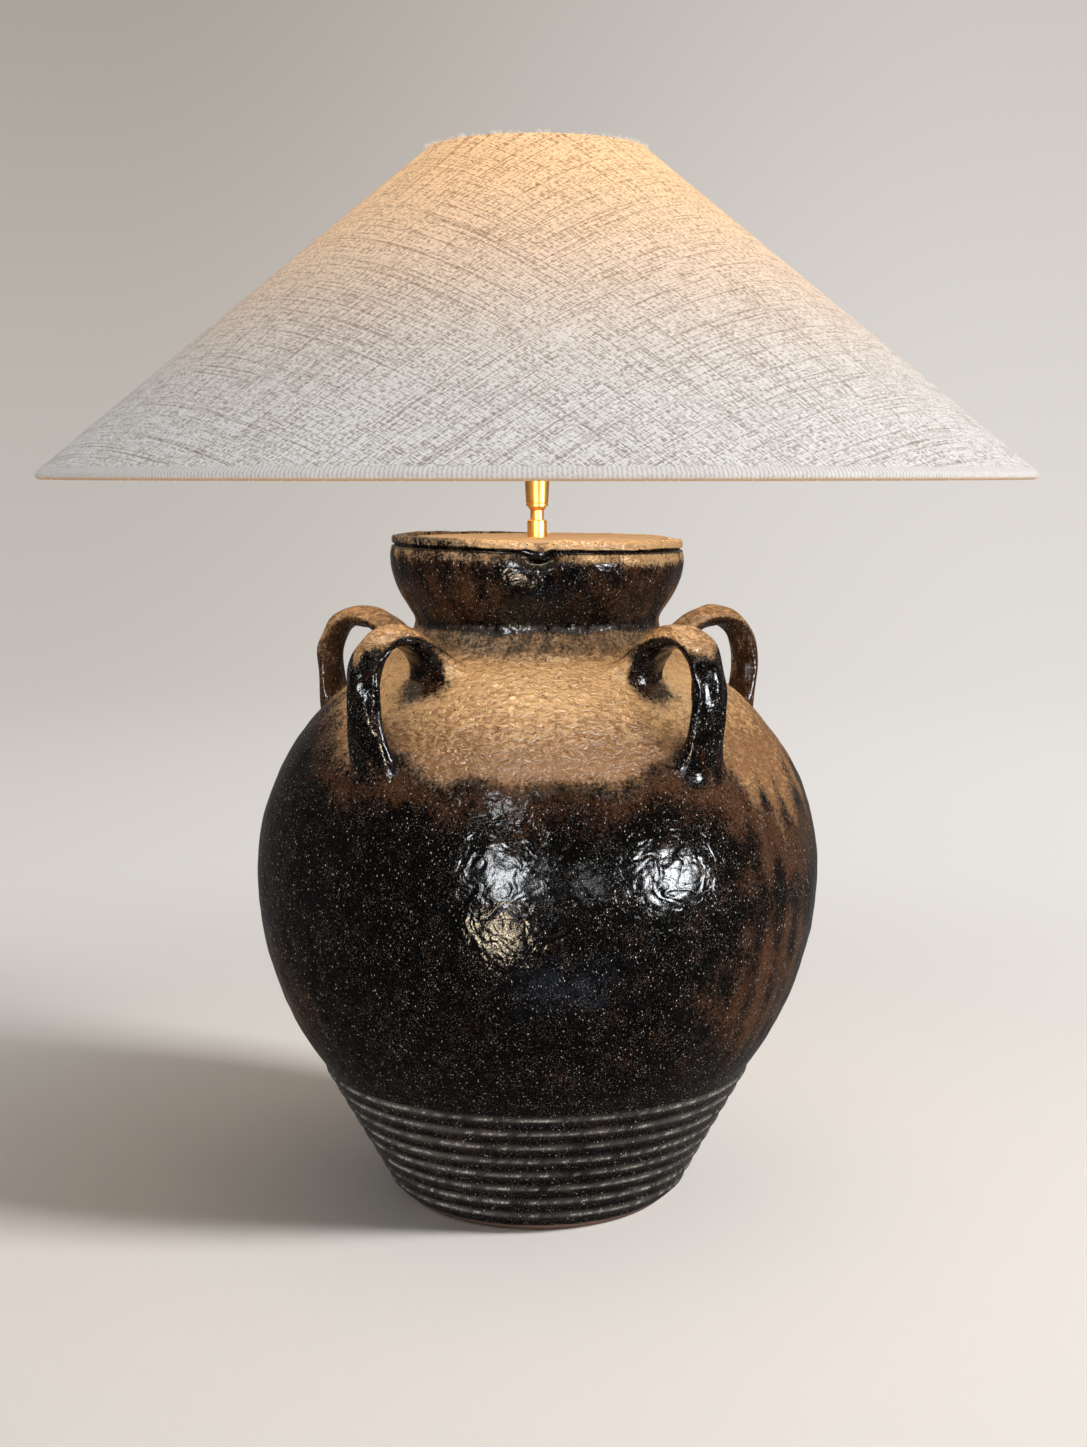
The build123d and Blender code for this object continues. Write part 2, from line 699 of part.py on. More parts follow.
with BuildPart() as screw_shell:
    ring(z_core, screw_out_r, screw_in_r, SCREW_HEIGHT)
    ring(z_core, screw_out_r, CONTACT_R + 2 * CONTACT_THICK, SCREW_SHEET)
finish(screw_shell, "screw_shell")

with BuildPart() as centre_contact:
    with BuildSketch(Plane.XY.offset(z_core)):
        Circle(CONTACT_R)
    extrude(amount=CONTACT_THICK)
finish(centre_contact, "centre_contact")

# Turn switch: a stem in the core with a flat oval key in front of the shell
with BuildPart() as switch_key:
    key_end = shell_out_r + KEY_REACH
    with BuildSketch(Plane.XZ.offset(core_r - KEY_DEPTH + SLIP_GAP)):
        with Locations((0, z_key)):
            Circle(KEY_STEM_R)
    extrude(amount=key_end - core_r + KEY_DEPTH - SLIP_GAP)
    with BuildSketch(Plane.XZ.offset(key_end - KEY_THICK)):
        with Locations((0, z_key)):
            Ellipse(KEY_WIDTH / 2, KEY_HEIGHT / 2)
    extrude(amount=KEY_THICK)
    fillet(switch_key.faces().sort_by(Axis.Y)[0].edges(), KEY_THICK / 4)
finish(switch_key, "switch_key")

# Bulb: contact, screw cap, blown glass, stem and filament sticks
with BuildPart() as bulb_contact:
    with BuildSketch(Plane.XZ):
        with BuildLine():
            Polyline(
                (0, z_bulb),
                (CONTACT_R, z_bulb),
                (screw_in_r - BULB_CONTACT_RISE, z_bulb_cap),
                (0, z_bulb_cap),
                close=True,
            )
        make_face()
    revolve(axis=Axis.Z)
finish(bulb_contact, "bulb_contact")

with BuildPart() as bulb_cap:
    ring(z_bulb_cap, SCREW_R, SCREW_R - BULB_CAP_SHEET, BULB_CAP_HEIGHT)
    ring(z_bulb_cap, SCREW_R, WIRE_R, BULB_CAP_SHEET)
finish(bulb_cap, "bulb_cap")


def bulb_outline(inset):
    """Outline of the glass, set in from its outside: a neck that swells into a round globe."""
    foot = Vector(glass_neck_r - inset, z_glass)
    neck = Vector(glass_neck_r - inset, z_bulb_rim)
    swell = Vector(GLOBE_R - inset, z_globe)
    upwards = Vector(0, (z_globe - z_bulb_rim) / 2)
    Line(foot, neck)
    Bezier(neck, neck + upwards, swell - upwards, swell)
    CenterArc((0, z_globe), GLOBE_R - inset, 0, 90)


with BuildPart() as bulb_glass:
    with BuildSketch(Plane.XZ):
        with BuildLine():
            bulb_outline(0)
            bulb_outline(GLASS_WALL)
            Line((glass_neck_r - GLASS_WALL, z_glass), (glass_neck_r, z_glass))
            Line((0, z_globe + GLOBE_R - GLASS_WALL), (0, z_globe + GLOBE_R))
        make_face()
    revolve(axis=Axis.Z)
finish(bulb_glass, "bulb_glass")

z_stem = z_glass + STEM_HEIGHT
with BuildPart() as bulb_stem:
    with BuildSketch(Plane.XY.offset(z_glass)):
        Circle(glass_neck_r - GLASS_WALL - SLIP_GAP)
    extrude(amount=STEM_R)
    with BuildSketch(Plane.XY.offset(z_glass)):
        Circle(STEM_R)
    extrude(amount=STEM_HEIGHT)
finish(bulb_stem, "bulb_stem")

with BuildPart() as bulb_filament:
    for height in (z_stem, z_stem + FILAMENT_HEIGHT - FILAMENT_R):
        with BuildSketch(Plane.XY.offset(height)):
            Circle(FILAMENT_RING_R + 2 * FILAMENT_R)
        extrude(amount=FILAMENT_R)
    with BuildSketch(Plane.XY.offset(z_stem)):
        with PolarLocations(FILAMENT_RING_R, FILAMENT_STICKS):
            Circle(FILAMENT_R)
    extrude(amount=FILAMENT_HEIGHT)
finish(bulb_filament, "bulb_filament")


# Shade: wire rings, a spider that drops to the harp, linen rolled round the rings, and a liner inside it
def spider_arms(gap=0, mode=Mode.ADD):
    """The straight rods of the spider, from its hub up to a weld under the top ring, with a gap round them."""
    for i in range(SPIDER_ARMS):
        turn = pi / 2 + 2 * pi * i / SPIDER_ARMS
        outwards = Vector(cos(turn), sin(turn))
        start = outwards * (SPIDER_HUB_R - SPIDER_ARM_R) + Vector(0, 0, z_spider)
        end = outwards * top_ring.X + Vector(0, 0, z_top_ring - SPIDER_WELD_DROP)
        with BuildSketch(Plane(origin=start, z_dir=end - start)) as profile:
            Circle(SPIDER_ARM_R + gap)
        extrude(profile.sketch, amount=(end - start).length + gap, mode=mode)


def panel(share, depth):
    """Point of the shade's straight side at a share of the way up, at a depth under its outside."""
    hem_r = HEM_R + (TOP_HEM_R - HEM_R) * share
    return low_ring + slant * share + slant_out * (hem_r - depth)


with BuildPart() as shade_bottom_ring:
    with Locations((0, 0, low_ring.Y)):
        Torus(low_ring.X, RING_WIRE_R)
finish(shade_bottom_ring, "shade_bottom_ring")

with BuildPart() as shade_spider:
    with Locations((0, 0, z_top_ring)):
        Torus(top_ring.X, TOP_WIRE_R)
    ring(z_spider_low, SPIDER_HUB_R, STUD_R + SLIP_GAP, SPIDER_HUB_THICK)
    spider_arms()
finish(shade_spider, "shade_spider")

with BuildPart() as shade_linen:
    with BuildSketch(Plane.XZ):
        for centre, hem_r in ((low_ring, HEM_R), (top_ring, TOP_HEM_R)):
            with Locations(centre):
                Circle(hem_r)
        with BuildLine():
            Polyline(panel(0, 0), panel(1, 0), panel(1, LINEN_THICK), panel(0, LINEN_THICK), close=True)
        make_face()
        for centre, wire_r, hem_r in ((low_ring, RING_WIRE_R, HEM_R), (top_ring, TOP_WIRE_R, TOP_HEM_R)):
            with Locations(centre):
                Circle(wire_r + THREAD_GAP, mode=Mode.SUBTRACT)
            # The turned-in edge of the cloth stops short of the panel
            half_slit = slant_way * (HEM_SLIT / 2)
            inside = centre - slant_out * (2 * hem_r)
            with BuildLine():
                Polyline(
                    centre - half_slit,
                    centre + half_slit,
                    inside + half_slit,
                    inside - half_slit,
                    close=True,
                )
            make_face(mode=Mode.SUBTRACT)
    revolve(axis=Axis.Z)
    spider_arms(SLIP_GAP, mode=Mode.SUBTRACT)
finish(shade_linen, "shade_linen")

with BuildPart() as shade_liner:
    low_share = HEM_R / slant.length
    high_share = 1 - TOP_HEM_R / slant.length
    liner_depth = LINEN_THICK + SHADE_LINER_THICK
    with BuildSketch(Plane.XZ):
        with BuildLine():
            Polyline(
                panel(low_share, LINEN_THICK),
                panel(high_share, LINEN_THICK),
                panel(high_share, liner_depth),
                panel(low_share, liner_depth),
                close=True,
            )
        make_face()
    revolve(axis=Axis.Z)
finish(shade_liner, "shade_liner")

# Finial that screws the spider down on the harp's stud
with BuildPart() as finial:
    bore_r = STUD_R + THREAD_GAP
    z_bore = z_plate + STUD_HEIGHT + FINIAL_CAVITY
    z_neck = z_finial + FINIAL_BASE
    z_knob_low = z_neck + FINIAL_NECK
    z_knob = z_knob_low + sqrt(FINIAL_KNOB_R**2 - FINIAL_NECK_R**2)
    with BuildSketch(Plane.XZ):
        with BuildLine():
            Polyline(
                (0, z_knob + FINIAL_KNOB_R),
                (0, z_bore),
                (bore_r, z_bore),
                (bore_r, z_finial),
                (FINIAL_R, z_finial),
                (FINIAL_R, z_neck),
                (FINIAL_NECK_R, z_neck),
                (FINIAL_NECK_R, z_knob_low),
            )
            ThreePointArc((FINIAL_NECK_R, z_knob_low), (FINIAL_KNOB_R, z_knob), (0, z_knob + FINIAL_KNOB_R))
        make_face()
    revolve(axis=Axis.Z)
finish(finial, "finial")
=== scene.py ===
"""Looks of a table lamp made from a glazed storage jar, with a brass swivel and a wide linen shade."""
import math

import bpy
import numpy as np
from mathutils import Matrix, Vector


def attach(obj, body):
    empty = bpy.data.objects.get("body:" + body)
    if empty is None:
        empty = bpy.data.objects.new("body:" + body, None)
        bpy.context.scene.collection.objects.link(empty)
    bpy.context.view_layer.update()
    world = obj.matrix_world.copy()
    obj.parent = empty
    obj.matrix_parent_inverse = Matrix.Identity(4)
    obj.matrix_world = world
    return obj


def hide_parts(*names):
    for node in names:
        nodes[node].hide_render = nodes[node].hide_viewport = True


bl_info = {
    "name": "Vase lamp looks",
    "version": (1, 0, 0),
    "blender": (4, 5, 0),
    "location": "View3D > Sidebar > Vase lamp",
    "description": "Dresses the solid model of a vase lamp with glaze, linen and brass",
    "category": "Object",
}

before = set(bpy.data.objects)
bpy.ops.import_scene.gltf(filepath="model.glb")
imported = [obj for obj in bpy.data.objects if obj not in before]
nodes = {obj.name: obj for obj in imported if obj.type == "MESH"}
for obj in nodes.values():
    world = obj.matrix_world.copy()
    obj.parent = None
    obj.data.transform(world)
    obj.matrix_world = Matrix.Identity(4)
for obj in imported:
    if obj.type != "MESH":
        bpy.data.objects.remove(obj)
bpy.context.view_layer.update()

MM = 0.001

# Section of the jar: lengths in millimetres
PIPE_HOLE_R = 5.2
RECESS_R = 72.3
Z_FOOT = 1.2
Z_RECESS = 14.2
Z_FLOOR = 24.2
FOOT_R = 90.3
TAPER_LOW = (97.8, 7.5)
Z_TAPER_HIGH = 96.5
RIDGES = 8
RIDGE_SHARE = 0.58
RIDGE_HEIGHT = 1.7
RIDGE_ROWS = 9
Z_BELLY = 225.0
BELLY_R = 189.8
BELLY_FALL = 203.0
SHOULDER_RISE = 169.0
SPREAD_R = 95.0
NECK_R = 82.0
Z_WAIST = 393.5
NECK_PULL = 7.0
RIM_R = 98.7
Z_RIM = 436.7
RIM_PULL = 25.0
LIP_R = 97.6
Z_GROOVE = 441.7
Z_LIP_LOW = 443.9
GROOVE_DEPTH = 2.0
Z_LIP = 449.1
LIP_ROUND = 2.2
MOUTH_R = 88.0
Z_LEDGE = 435.0
LEDGE_R = 80.0
WALL = 9.0
JAR_COLUMNS = 336

# Glaze and unevenness of the jar: heights and lengths in millimetres, turns from the front in degrees
Z_ASH = 306.0
ASH_BENDS = ((-46, 65, 16), (9, 35, 9), (6, -32, 9))  # rise of the ash's edge, at a turn, over a width
Z_NECK_ASH = 390.0
Z_BAND = 433.0
Z_RING = 374.5
PINCH_X = 1.5
# Soft patches: how much, middle and width across, middle and width up the wall
BROWN_PATCHES = ((0.3, (44, 12), (160, 30)), (0.8, (-66, 13), (152, 40)), (0.5, (160, 40), (200, 50)))
PINCH = ((-6.5, (0, 10), (439.5, 5)), (2.0, (14, 6), (444, 3.4)), (1.6, (-13, 6), (445, 3)))
# Heights in metres where the jar's material changes, and where its top turns paler partly as painted light: limits of
# each smooth step
PALE_LIT_RISE = (0.318, 0.364)
COLLAR_RISE = (0.364, 0.38)
COLLAR_FALL = (0.41, 0.4)
RIPPLE_RISE = (0.09, 0.14)

# Strap handles: lengths in millimetres, turns from the front in degrees, shares of the strap
HANDLE_TURNS = {"front_left": -38.0, "front_right": 38.0, "back_left": -120.0, "back_right": 120.0}
STRAP_HALF_WIDTH = 12.5
STRAP_HALF_THICK = 7.0
ROOT_FLARE_TOP = 7.0
ROOT_FLARE_LOW = 4.0
ROOT_EXTRA_THICK = 2.0
TOP_ROOT_SHARE = 0.35
LOW_ROOT_SHARE = 0.25
FILLET_REACH = 5.0
FILLET_HEIGHT = 4.5
STRAP_PATH = ((100.8, 360.3), (126.8, 410.3), (200.8, 403.3), (158.8, 305.3))
STRAP_DRIFT_R = 12.0
STRAP_ROWS = 110
STRAP_COLUMNS = 56

# Section of the shade: lengths in millimetres
LOW_RING = (322.0, 490.05)
TOP_RING = (70.9, 697.45)
LOW_HEM_R = 3.0
TOP_HEM_R = 2.6
LINEN_THICK = 0.9
LOW_HEM_THIN = 0.75
TOP_HEM_THIN = 0.65
HEM_WRAP = 165.0
HEM_RIBS = 800.0
SHADE_COLUMNS = 384
PANEL_ROWS = 64
HEM_ROWS = 12
SEAM_WIDTH = 9.0
SEAM_EDGE = 1.5
SEAM_HEIGHT = 0.7
THREAD_R = 0.2
THREAD_ROWS = 4
THREAD_SIDES = 3
THREAD_CLUSTERS = 90
THREADS_AT_TOP = 0.8

# Colours that no setting changes
STAIN = (0.15, 0.07, 0.03)
PIT = (0.06, 0.028, 0.012)
LIT_SLUB = (0.4, 0.17, 0.045)
# Painted warm bulb light on the underside of the shade's lower hem
LIT_HEM_UNDERSIDE = (0.34, 0.2, 0.09)
THREAD_ENDS = ((0.72, 0.64, 0.54), (0.85, 0.8, 0.74))
LINING = ((0.82, 0.78, 0.7), (0.9, 0.87, 0.8))
TARNISH = (0.62, 0.36, 0.12)
WOOD = ((0.52, 0.36, 0.2), (0.36, 0.22, 0.11))
WOOD_PORES = (0.2, 0.11, 0.05)
BACKDROP = ((0.36, 0.325, 0.285), (0.88, 0.845, 0.815))
MIRRORED_FLOOR = (0.05, 0.047, 0.045)
BULB_COLOUR = (1.0, 0.68, 0.36)
AIR_COLOUR = (0.98, 0.97, 0.95)
COOL = (0.92, 0.96, 1.0)

# Stage: lengths in metres
FLOOR_R = 3.0
FLOOR_BEND = 1.6
WALL_TOP = 4.0
FLOOR_COLUMNS = 96
BULB_PLACE = (0.0, 0.0, 0.6103)
BULB_R = 0.034
BULB_NECK = (0.555, 0.6)
JAR_MIDDLE = (0.0, 0.0, 0.25)
# What the glaze alone mirrors: two windows, weak glints round them, a blue and a warm patch below, and the shade's
# bright inside. Each has its turn, rise, distance, size, share of the window power, colour and aim.
MIRRORED = (
    ("window_left", -12, 10, 2.3, (0.28, 0.7), 0.9, COOL, JAR_MIDDLE),
    ("window_right", 54, 7, 2.3, (0.58, 0.5), 1.5, COOL, JAR_MIDDLE),
    ("window_top", -16, 42, 2.3, (0.2, 0.3), 0.2, COOL, JAR_MIDDLE),
    ("window_gap", 22, 9, 2.3, (0.22, 0.16), 0.05, COOL, JAR_MIDDLE),
    ("window_haze", -8, 5, 2.3, (0.9, 0.8), 0.07, COOL, JAR_MIDDLE),
    ("sky_patch", 9, -26.6, 0.436, (0.2, 0.12), 0.0016, (0.55, 0.68, 1.0), (0.0, 0.0, 0.2)),
    ("lamp_patch", -13, -13, 0.8, (0.07, 0.09), 0.045, (1.0, 0.82, 0.58), JAR_MIDDLE),
    ("shade_glint", 0, 90, 0.28, (0.18, 0.07), 0.012, (1.0, 0.86, 0.66), (0.0, -0.11, 0.3)),
)

# Fittings: name, colours, grain and finish of each material, and the pieces that wear it
BRASS_PIECES = (
    *("swivel_collar", "swivel_stud", "swivel_cup", "swivel_bush", "socket_nipple", "harp_saddle", "saddle_nut"),
    *("harp", "harp_sleeve_left", "harp_sleeve_right", "socket_cap", "socket_shell", "finial"),
)
ZINC_PIECES = (
    *("base_washer", "base_nut", "cap_nut", "lamp_pipe", "swivel_spring"),
    *("shade_bottom_ring", "shade_spider"),
)
KEY_PIECES = ("switch_key", "bulb_contact")
METALS = (
    ("bare_brass", (0.7, 0.52, 0.26), 0.25, (0.5, 0.34, 0.15), ("screw_shell", "centre_contact")),
    ("rolled_aluminium", (0.76, 0.76, 0.75), 0.3, (0.6, 0.6, 0.6), ("bulb_cap",)),
)
PLAINS = (
    ("felt", (0.05, 0.045, 0.04), (0.09, 0.08, 0.07), 900.0, 0.95, 0.0006, ("felt_pad",)),
    ("gasket_rubber", (0.03, 0.03, 0.03), (0.05, 0.05, 0.05), 400.0, 0.8, 0.0001, ("mouth_gasket",)),
    ("white_nylon", (0.8, 0.78, 0.72), (0.72, 0.7, 0.65), 200.0, 0.5, 0.0001, ("swivel_seat",)),
    ("card", (0.26, 0.19, 0.12), (0.18, 0.13, 0.08), 500.0, 0.85, 0.0002, ("socket_liner",)),
    ("porcelain", (0.85, 0.83, 0.77), (0.8, 0.77, 0.7), 60.0, 0.25, 0.0001, ("socket_core",)),
    ("black_phenolic", (0.02, 0.018, 0.017), (0.035, 0.03, 0.028), 300.0, 0.3, 0.00005, KEY_PIECES),
    ("stem_glass", (0.75, 0.74, 0.7), (0.7, 0.69, 0.64), 80.0, 0.1, 0.00002, ("bulb_stem",)),
    ("coated_filament", (0.9, 0.6, 0.2), (0.85, 0.5, 0.15), 300.0, 0.6, 0.0001, ("bulb_filament",)),
)

# Camera fitted to the photograph: pixels, degrees and metres, with Blender's usual sensor in millimetres
IMAGE_HEIGHT = 1447.0
SENSOR_WIDTH = 36.0
FOCAL_PIXELS = 1980.0
CAMERA_PITCH = 7.239
CAMERA_PLACE = (0.0043, -1.332, 0.4917)


class JarSettings(bpy.types.PropertyGroup):
    """Unevenness and glaze colours of the jar"""

    wobble: bpy.props.FloatProperty(
        name="Wobble", description="Depth of the unevenness left by throwing", default=0.0005, unit="LENGTH"
    )
    ripple: bpy.props.FloatProperty(
        name="Ripple", description="Depth of the ripples in the glaze", default=0.0001, unit="LENGTH"
    )
    rim_tilt: bpy.props.FloatProperty(
        name="Rim tilt", description="Lean of the mouth to the right", default=math.radians(1.0), subtype="ANGLE"
    )
    black_glaze: bpy.props.FloatVectorProperty(
        name="Black glaze", description="Thick iron glaze", default=(0.0015, 0.0013, 0.0012), subtype="COLOR"
    )
    brown_glaze: bpy.props.FloatVectorProperty(
        name="Brown glaze", description="Thin iron glaze", default=(0.085, 0.037, 0.017), subtype="COLOR"
    )
    ash: bpy.props.FloatVectorProperty(
        name="Ash", description="Ochre ash glaze of the shoulder", default=(0.28, 0.136, 0.051), subtype="COLOR"
    )
    # Pale ash: partly the ash's own paler tone, partly painted light from above on the shoulder's top, lip and strap
    # crests
    lit_pale_ash: bpy.props.FloatVectorProperty(
        name="Pale ash", description="Dry pale ash on crests and lip", default=(0.82, 0.525, 0.255), subtype="COLOR"
    )
    # Worn glaze: grey wear on the ridge tops, together with painted sheen and painted highlight lines
    worn_and_sheen: bpy.props.FloatVectorProperty(
        name="Worn glaze", description="Grey worn tops of ridges", default=(0.46, 0.43, 0.395), subtype="COLOR"
    )
    clay: bpy.props.FloatVectorProperty(
        name="Bare clay", description="Unglazed edge of the foot", default=(0.2, 0.115, 0.082), subtype="COLOR"
    )
    speck: bpy.props.FloatVectorProperty(
        name="Specks", description="White specks in the glaze", default=(0.8, 0.76, 0.7), subtype="COLOR"
    )


class ShadeSettings(bpy.types.PropertyGroup):
    """Cloth and glow of the shade"""

    linen: bpy.props.FloatVectorProperty(
        name="Linen", description="Undyed linen", default=(0.76, 0.745, 0.735), subtype="COLOR"
    )
    slub: bpy.props.FloatVectorProperty(
        name="Slubs", description="Thick darker threads", default=(0.25, 0.2, 0.165), subtype="COLOR"
    )
    lit_linen: bpy.props.FloatVectorProperty(
        name="Lit linen", description="Linen with the bulb behind it", default=(0.66, 0.45, 0.25), subtype="COLOR"
    )
    glow: bpy.props.FloatVectorProperty(
        name="Glow", description="Light that comes through the linen", default=(1.0, 0.56, 0.24), subtype="COLOR"
    )
    glow_strength: bpy.props.FloatProperty(
        name="Glow strength", description="Light through the linen at its top edge", default=0.58
    )
    loose_threads: bpy.props.IntProperty(
        name="Loose threads", description="Frayed ends along the two edges", default=900
    )


class MetalSettings(bpy.types.PropertyGroup):
    """Brass and steel of the fittings"""

    brass: bpy.props.FloatVectorProperty(
        name="Brass", description="Satin lacquered brass", default=(0.95, 0.5, 0.13), subtype="COLOR"
    )
    steel: bpy.props.FloatVectorProperty(
        name="Steel", description="Zinc plated steel", default=(0.55, 0.55, 0.54), subtype="COLOR"
    )


class StageSettings(bpy.types.PropertyGroup):
    """Floor, lamps and bulb"""

    paper: bpy.props.FloatVectorProperty(
        name="Paper", description="Warm grey of the floor and its sweep", default=(0.71, 0.685, 0.66), subtype="COLOR"
    )
    floor_power: bpy.props.FloatProperty(
        name="Floor power", description="Hard light that throws the shadow on the floor", default=318.0, unit="POWER"
    )
    key_power: bpy.props.FloatProperty(
        name="Key power", description="Soft box on the right", default=29.0, unit="POWER"
    )
    top_power: bpy.props.FloatProperty(
        name="Top power", description="Large soft box overhead", default=20.0, unit="POWER"
    )
    window_power: bpy.props.FloatProperty(
        name="Window power", description="Cool windows that the glaze mirrors", default=62.0, unit="POWER"
    )
    bulb_power: bpy.props.FloatProperty(
        name="Bulb power", description="Warm light under the shade", default=3.8, unit="POWER"
    )
    air: bpy.props.FloatProperty(name="Air", description="Even light from all round", default=0.1)


# Numpy surfaces


def run(start, end, count):
    """Straight run of points from start to just before end."""
    share = np.arange(count)[:, None] / count
    return np.asarray(start) * (1 - share) + np.asarray(end) * share


def path(corners, counts):
    """Straight runs from corner to corner, each with its count of points."""
    return np.concatenate([run(start, end, count) for start, end, count in zip(corners, corners[1:], counts)])


def curve(a, b, c, d, count, whole=False):
    """Cubic curve: four points weighted by the Bernstein terms of t, to just before its end unless whole."""
    t = np.linspace(0, 1, count, endpoint=whole)[:, None]
    a, b, c, d = (np.asarray(p, float) for p in (a, b, c, d))
    return (1 - t) ** 3 * a + 3 * (1 - t) ** 2 * t * b + 3 * (1 - t) * t**2 * c + t**3 * d


def arc(centre, half_width, half_height, start, end, count):
    """Part of an ellipse: centre plus (half width times cosine, half height times sine) of the angle."""
    angle = np.linspace(start, end, count, endpoint=False)
    return np.stack([centre[0] + half_width * np.cos(angle), centre[1] + half_height * np.sin(angle)], -1)


def unit(vectors):
    """Vectors divided by their lengths."""
    return vectors / np.linalg.norm(vectors, axis=-1, keepdims=True)


def smooth(x, low, high):
    """Smooth step from 0 at low to 1 at high."""
    t = np.clip((x - low) / (high - low), 0, 1)
    return t * t * (3 - 2 * t)


def between(x, low, rise, fall, high):
    """Smooth step up from low to rise, and down again from fall to high."""
    return smooth(x, low, rise) * (1 - smooth(x, fall, high))


def bell(x, middle, width):
    """Bell curve of height 1."""
    return np.exp(-(((x - middle) / width) ** 2))


def patches(x, z, table):
    """Sum of soft patches, each its height times a bell curve in x and one in z."""
    return sum(height * bell(x, *across) * bell(z, *up) for height, across, up in table)


def waves(turn, height, seed, count, around, along=(0, 1)):
    """Even unevenness of about unit height: cosines of whole waves round the axis and of waves up the wall."""
    rng = np.random.default_rng(seed)
    total = np.zeros(np.broadcast(turn, height).shape)
    for _ in range(count):
        total += np.cos(rng.integers(*around) * turn + rng.uniform(*along) * height + rng.uniform(0, 2 * np.pi))
    return total * math.sqrt(2 / count)


def turns(columns, count):
    """A row of turns from the back, through the front, at so many columns to the whole circle."""
    return (np.arange(count)[None, :] / columns * 2 - 1) * np.pi


def carried(r, turn, z):
    """Points at a radius, a turn from the front and a height."""
    x = r * np.sin(turn)
    return np.stack([x, -r * np.cos(turn), np.broadcast_to(z, x.shape)], -1)


def grid_faces(rows, columns, closed_rows):
    """Quads of a grid whose columns, and if asked whose rows, close on themselves."""
    index = np.arange(rows * columns).reshape(rows, columns)
    right = np.roll(index, -1, axis=1)
    if closed_rows:
        quads = (index, right, np.roll(right, -1, axis=0), np.roll(index, -1, axis=0))
    else:
        quads = (index[:-1], right[:-1], right[1:], index[1:])
    return np.stack(quads, -1).reshape(-1, 4)


def mesh_object(name, points, faces, layers=None):
    """Object at the origin with these points, faces of one size, and a number per point in each named layer."""
    points = points.reshape(-1, 3)
    mesh = bpy.data.meshes.new(name)
    mesh.vertices.add(len(points))
    mesh.vertices.foreach_set("co", points.astype(np.float32).ravel())
    mesh.loops.add(faces.size)
    mesh.loops.foreach_set("vertex_index", faces.astype(np.int32).ravel())
    mesh.polygons.add(len(faces))
    mesh.polygons.foreach_set("loop_start", np.arange(0, faces.size, faces.shape[1], dtype=np.int32))
    mesh.polygons.foreach_set("use_smooth", np.ones(len(faces), bool))
    mesh.update(calc_edges=True)
    for layer, values in (layers or {}).items():
        attribute = mesh.attributes.new(layer, "FLOAT", "POINT")
        attribute.data.foreach_set("value", np.asarray(values, np.float32).ravel())
    obj = bpy.data.objects.new(name, mesh)
    bpy.context.scene.collection.objects.link(obj)
    return obj


def jar_section():
    """The jar's section as a closed line: under its foot, up the ridged taper, round two half ellipses that share
    the widest circle, up the neck and rim, over the lip, and down the inside."""
    belly = (0, Z_BELLY)
    taper_high = BELLY_R * math.sqrt(1 - ((Z_TAPER_HIGH - Z_BELLY) / BELLY_FALL) ** 2)
    low_angle = -math.acos(taper_high / BELLY_R)
    high_angle = math.acos(SPREAD_R / BELLY_R)
    taper_way = unit(np.array([taper_high - TAPER_LOW[0], Z_TAPER_HIGH - TAPER_LOW[1]]))
    taper = run(TAPER_LOW, (taper_high, Z_TAPER_HIGH), RIDGES * RIDGE_ROWS)
    cell = np.arange(RIDGES * RIDGE_ROWS) / RIDGE_ROWS % 1 - 0.5
    crest = np.clip(1 - (cell / (RIDGE_SHARE / 2)) ** 2, 0, 1)
    taper = taper + (RIDGE_HEIGHT * crest)[:, None] * np.array([taper_way[1], -taper_way[0]])
    spread = np.array([SPREAD_R, Z_BELLY + SHOULDER_RISE * math.sin(high_angle)])
    slope = unit(np.array([-BELLY_R * math.sin(high_angle), SHOULDER_RISE * math.cos(high_angle)]))
    waist = np.array([NECK_R, Z_WAIST])
    rim = np.array([RIM_R, Z_RIM])
    up = np.array([0.0, 1.0])
    inner, inner_rise, inner_fall = BELLY_R - WALL, SHOULDER_RISE - WALL, BELLY_FALL - WALL
    inner_neck = NECK_R - WALL
    inner_low = math.asin((Z_TAPER_HIGH - Z_BELLY) / inner_fall)
    inner_taper = (inner * math.cos(inner_low), Z_TAPER_HIGH)
    floor_edge = (inner_taper[0] - taper_way[0] / taper_way[1] * (Z_TAPER_HIGH - Z_FLOOR), Z_FLOOR)
    groove = (LIP_R - GROOVE_DEPTH, (Z_GROOVE + Z_LIP_LOW) / 2)
    lip_edge = (LIP_R - LIP_ROUND, Z_LIP - LIP_ROUND)
    foot = [(PIPE_HOLE_R, Z_RECESS), (RECESS_R, Z_RECESS), (RECESS_R, Z_FOOT), (FOOT_R, Z_FOOT), TAPER_LOW]
    lip = [rim, (LIP_R, Z_GROOVE), groove, (LIP_R, Z_LIP_LOW), (LIP_R, lip_edge[1])]
    mouth = [(lip_edge[0], Z_LIP), (MOUTH_R, Z_LIP), (MOUTH_R, Z_LEDGE), (LEDGE_R, Z_LEDGE), (inner_neck, Z_WAIST)]
    floor = [inner_taper, floor_edge, (PIPE_HOLE_R, Z_FLOOR), (PIPE_HOLE_R, Z_RECESS)]
    pieces = [
        path(foot, (3, 2, 4, 4)),
        taper,
        arc(belly, BELLY_R, BELLY_FALL, low_angle, 0, 52),
        arc(belly, BELLY_R, SHOULDER_RISE, 0, high_angle, 66),
        curve(spread, spread + slope * NECK_PULL, waist - up * NECK_PULL, waist, 12),
        curve(waist, waist + up * NECK_PULL, rim - up * RIM_PULL, rim, 20),
        path(lip, (4, 3, 3, 3)),
        arc(lip_edge, LIP_ROUND, LIP_ROUND, 0, math.pi / 2, 4),
        path(mouth, (4, 3, 2, 3)),
        arc(belly, inner, inner_rise, math.acos(inner_neck / inner), 0, 8),
        arc(belly, inner, inner_fall, 0, inner_low, 8),
        path(floor, (3, 3, 1)),
    ]
    return np.concatenate(pieces)


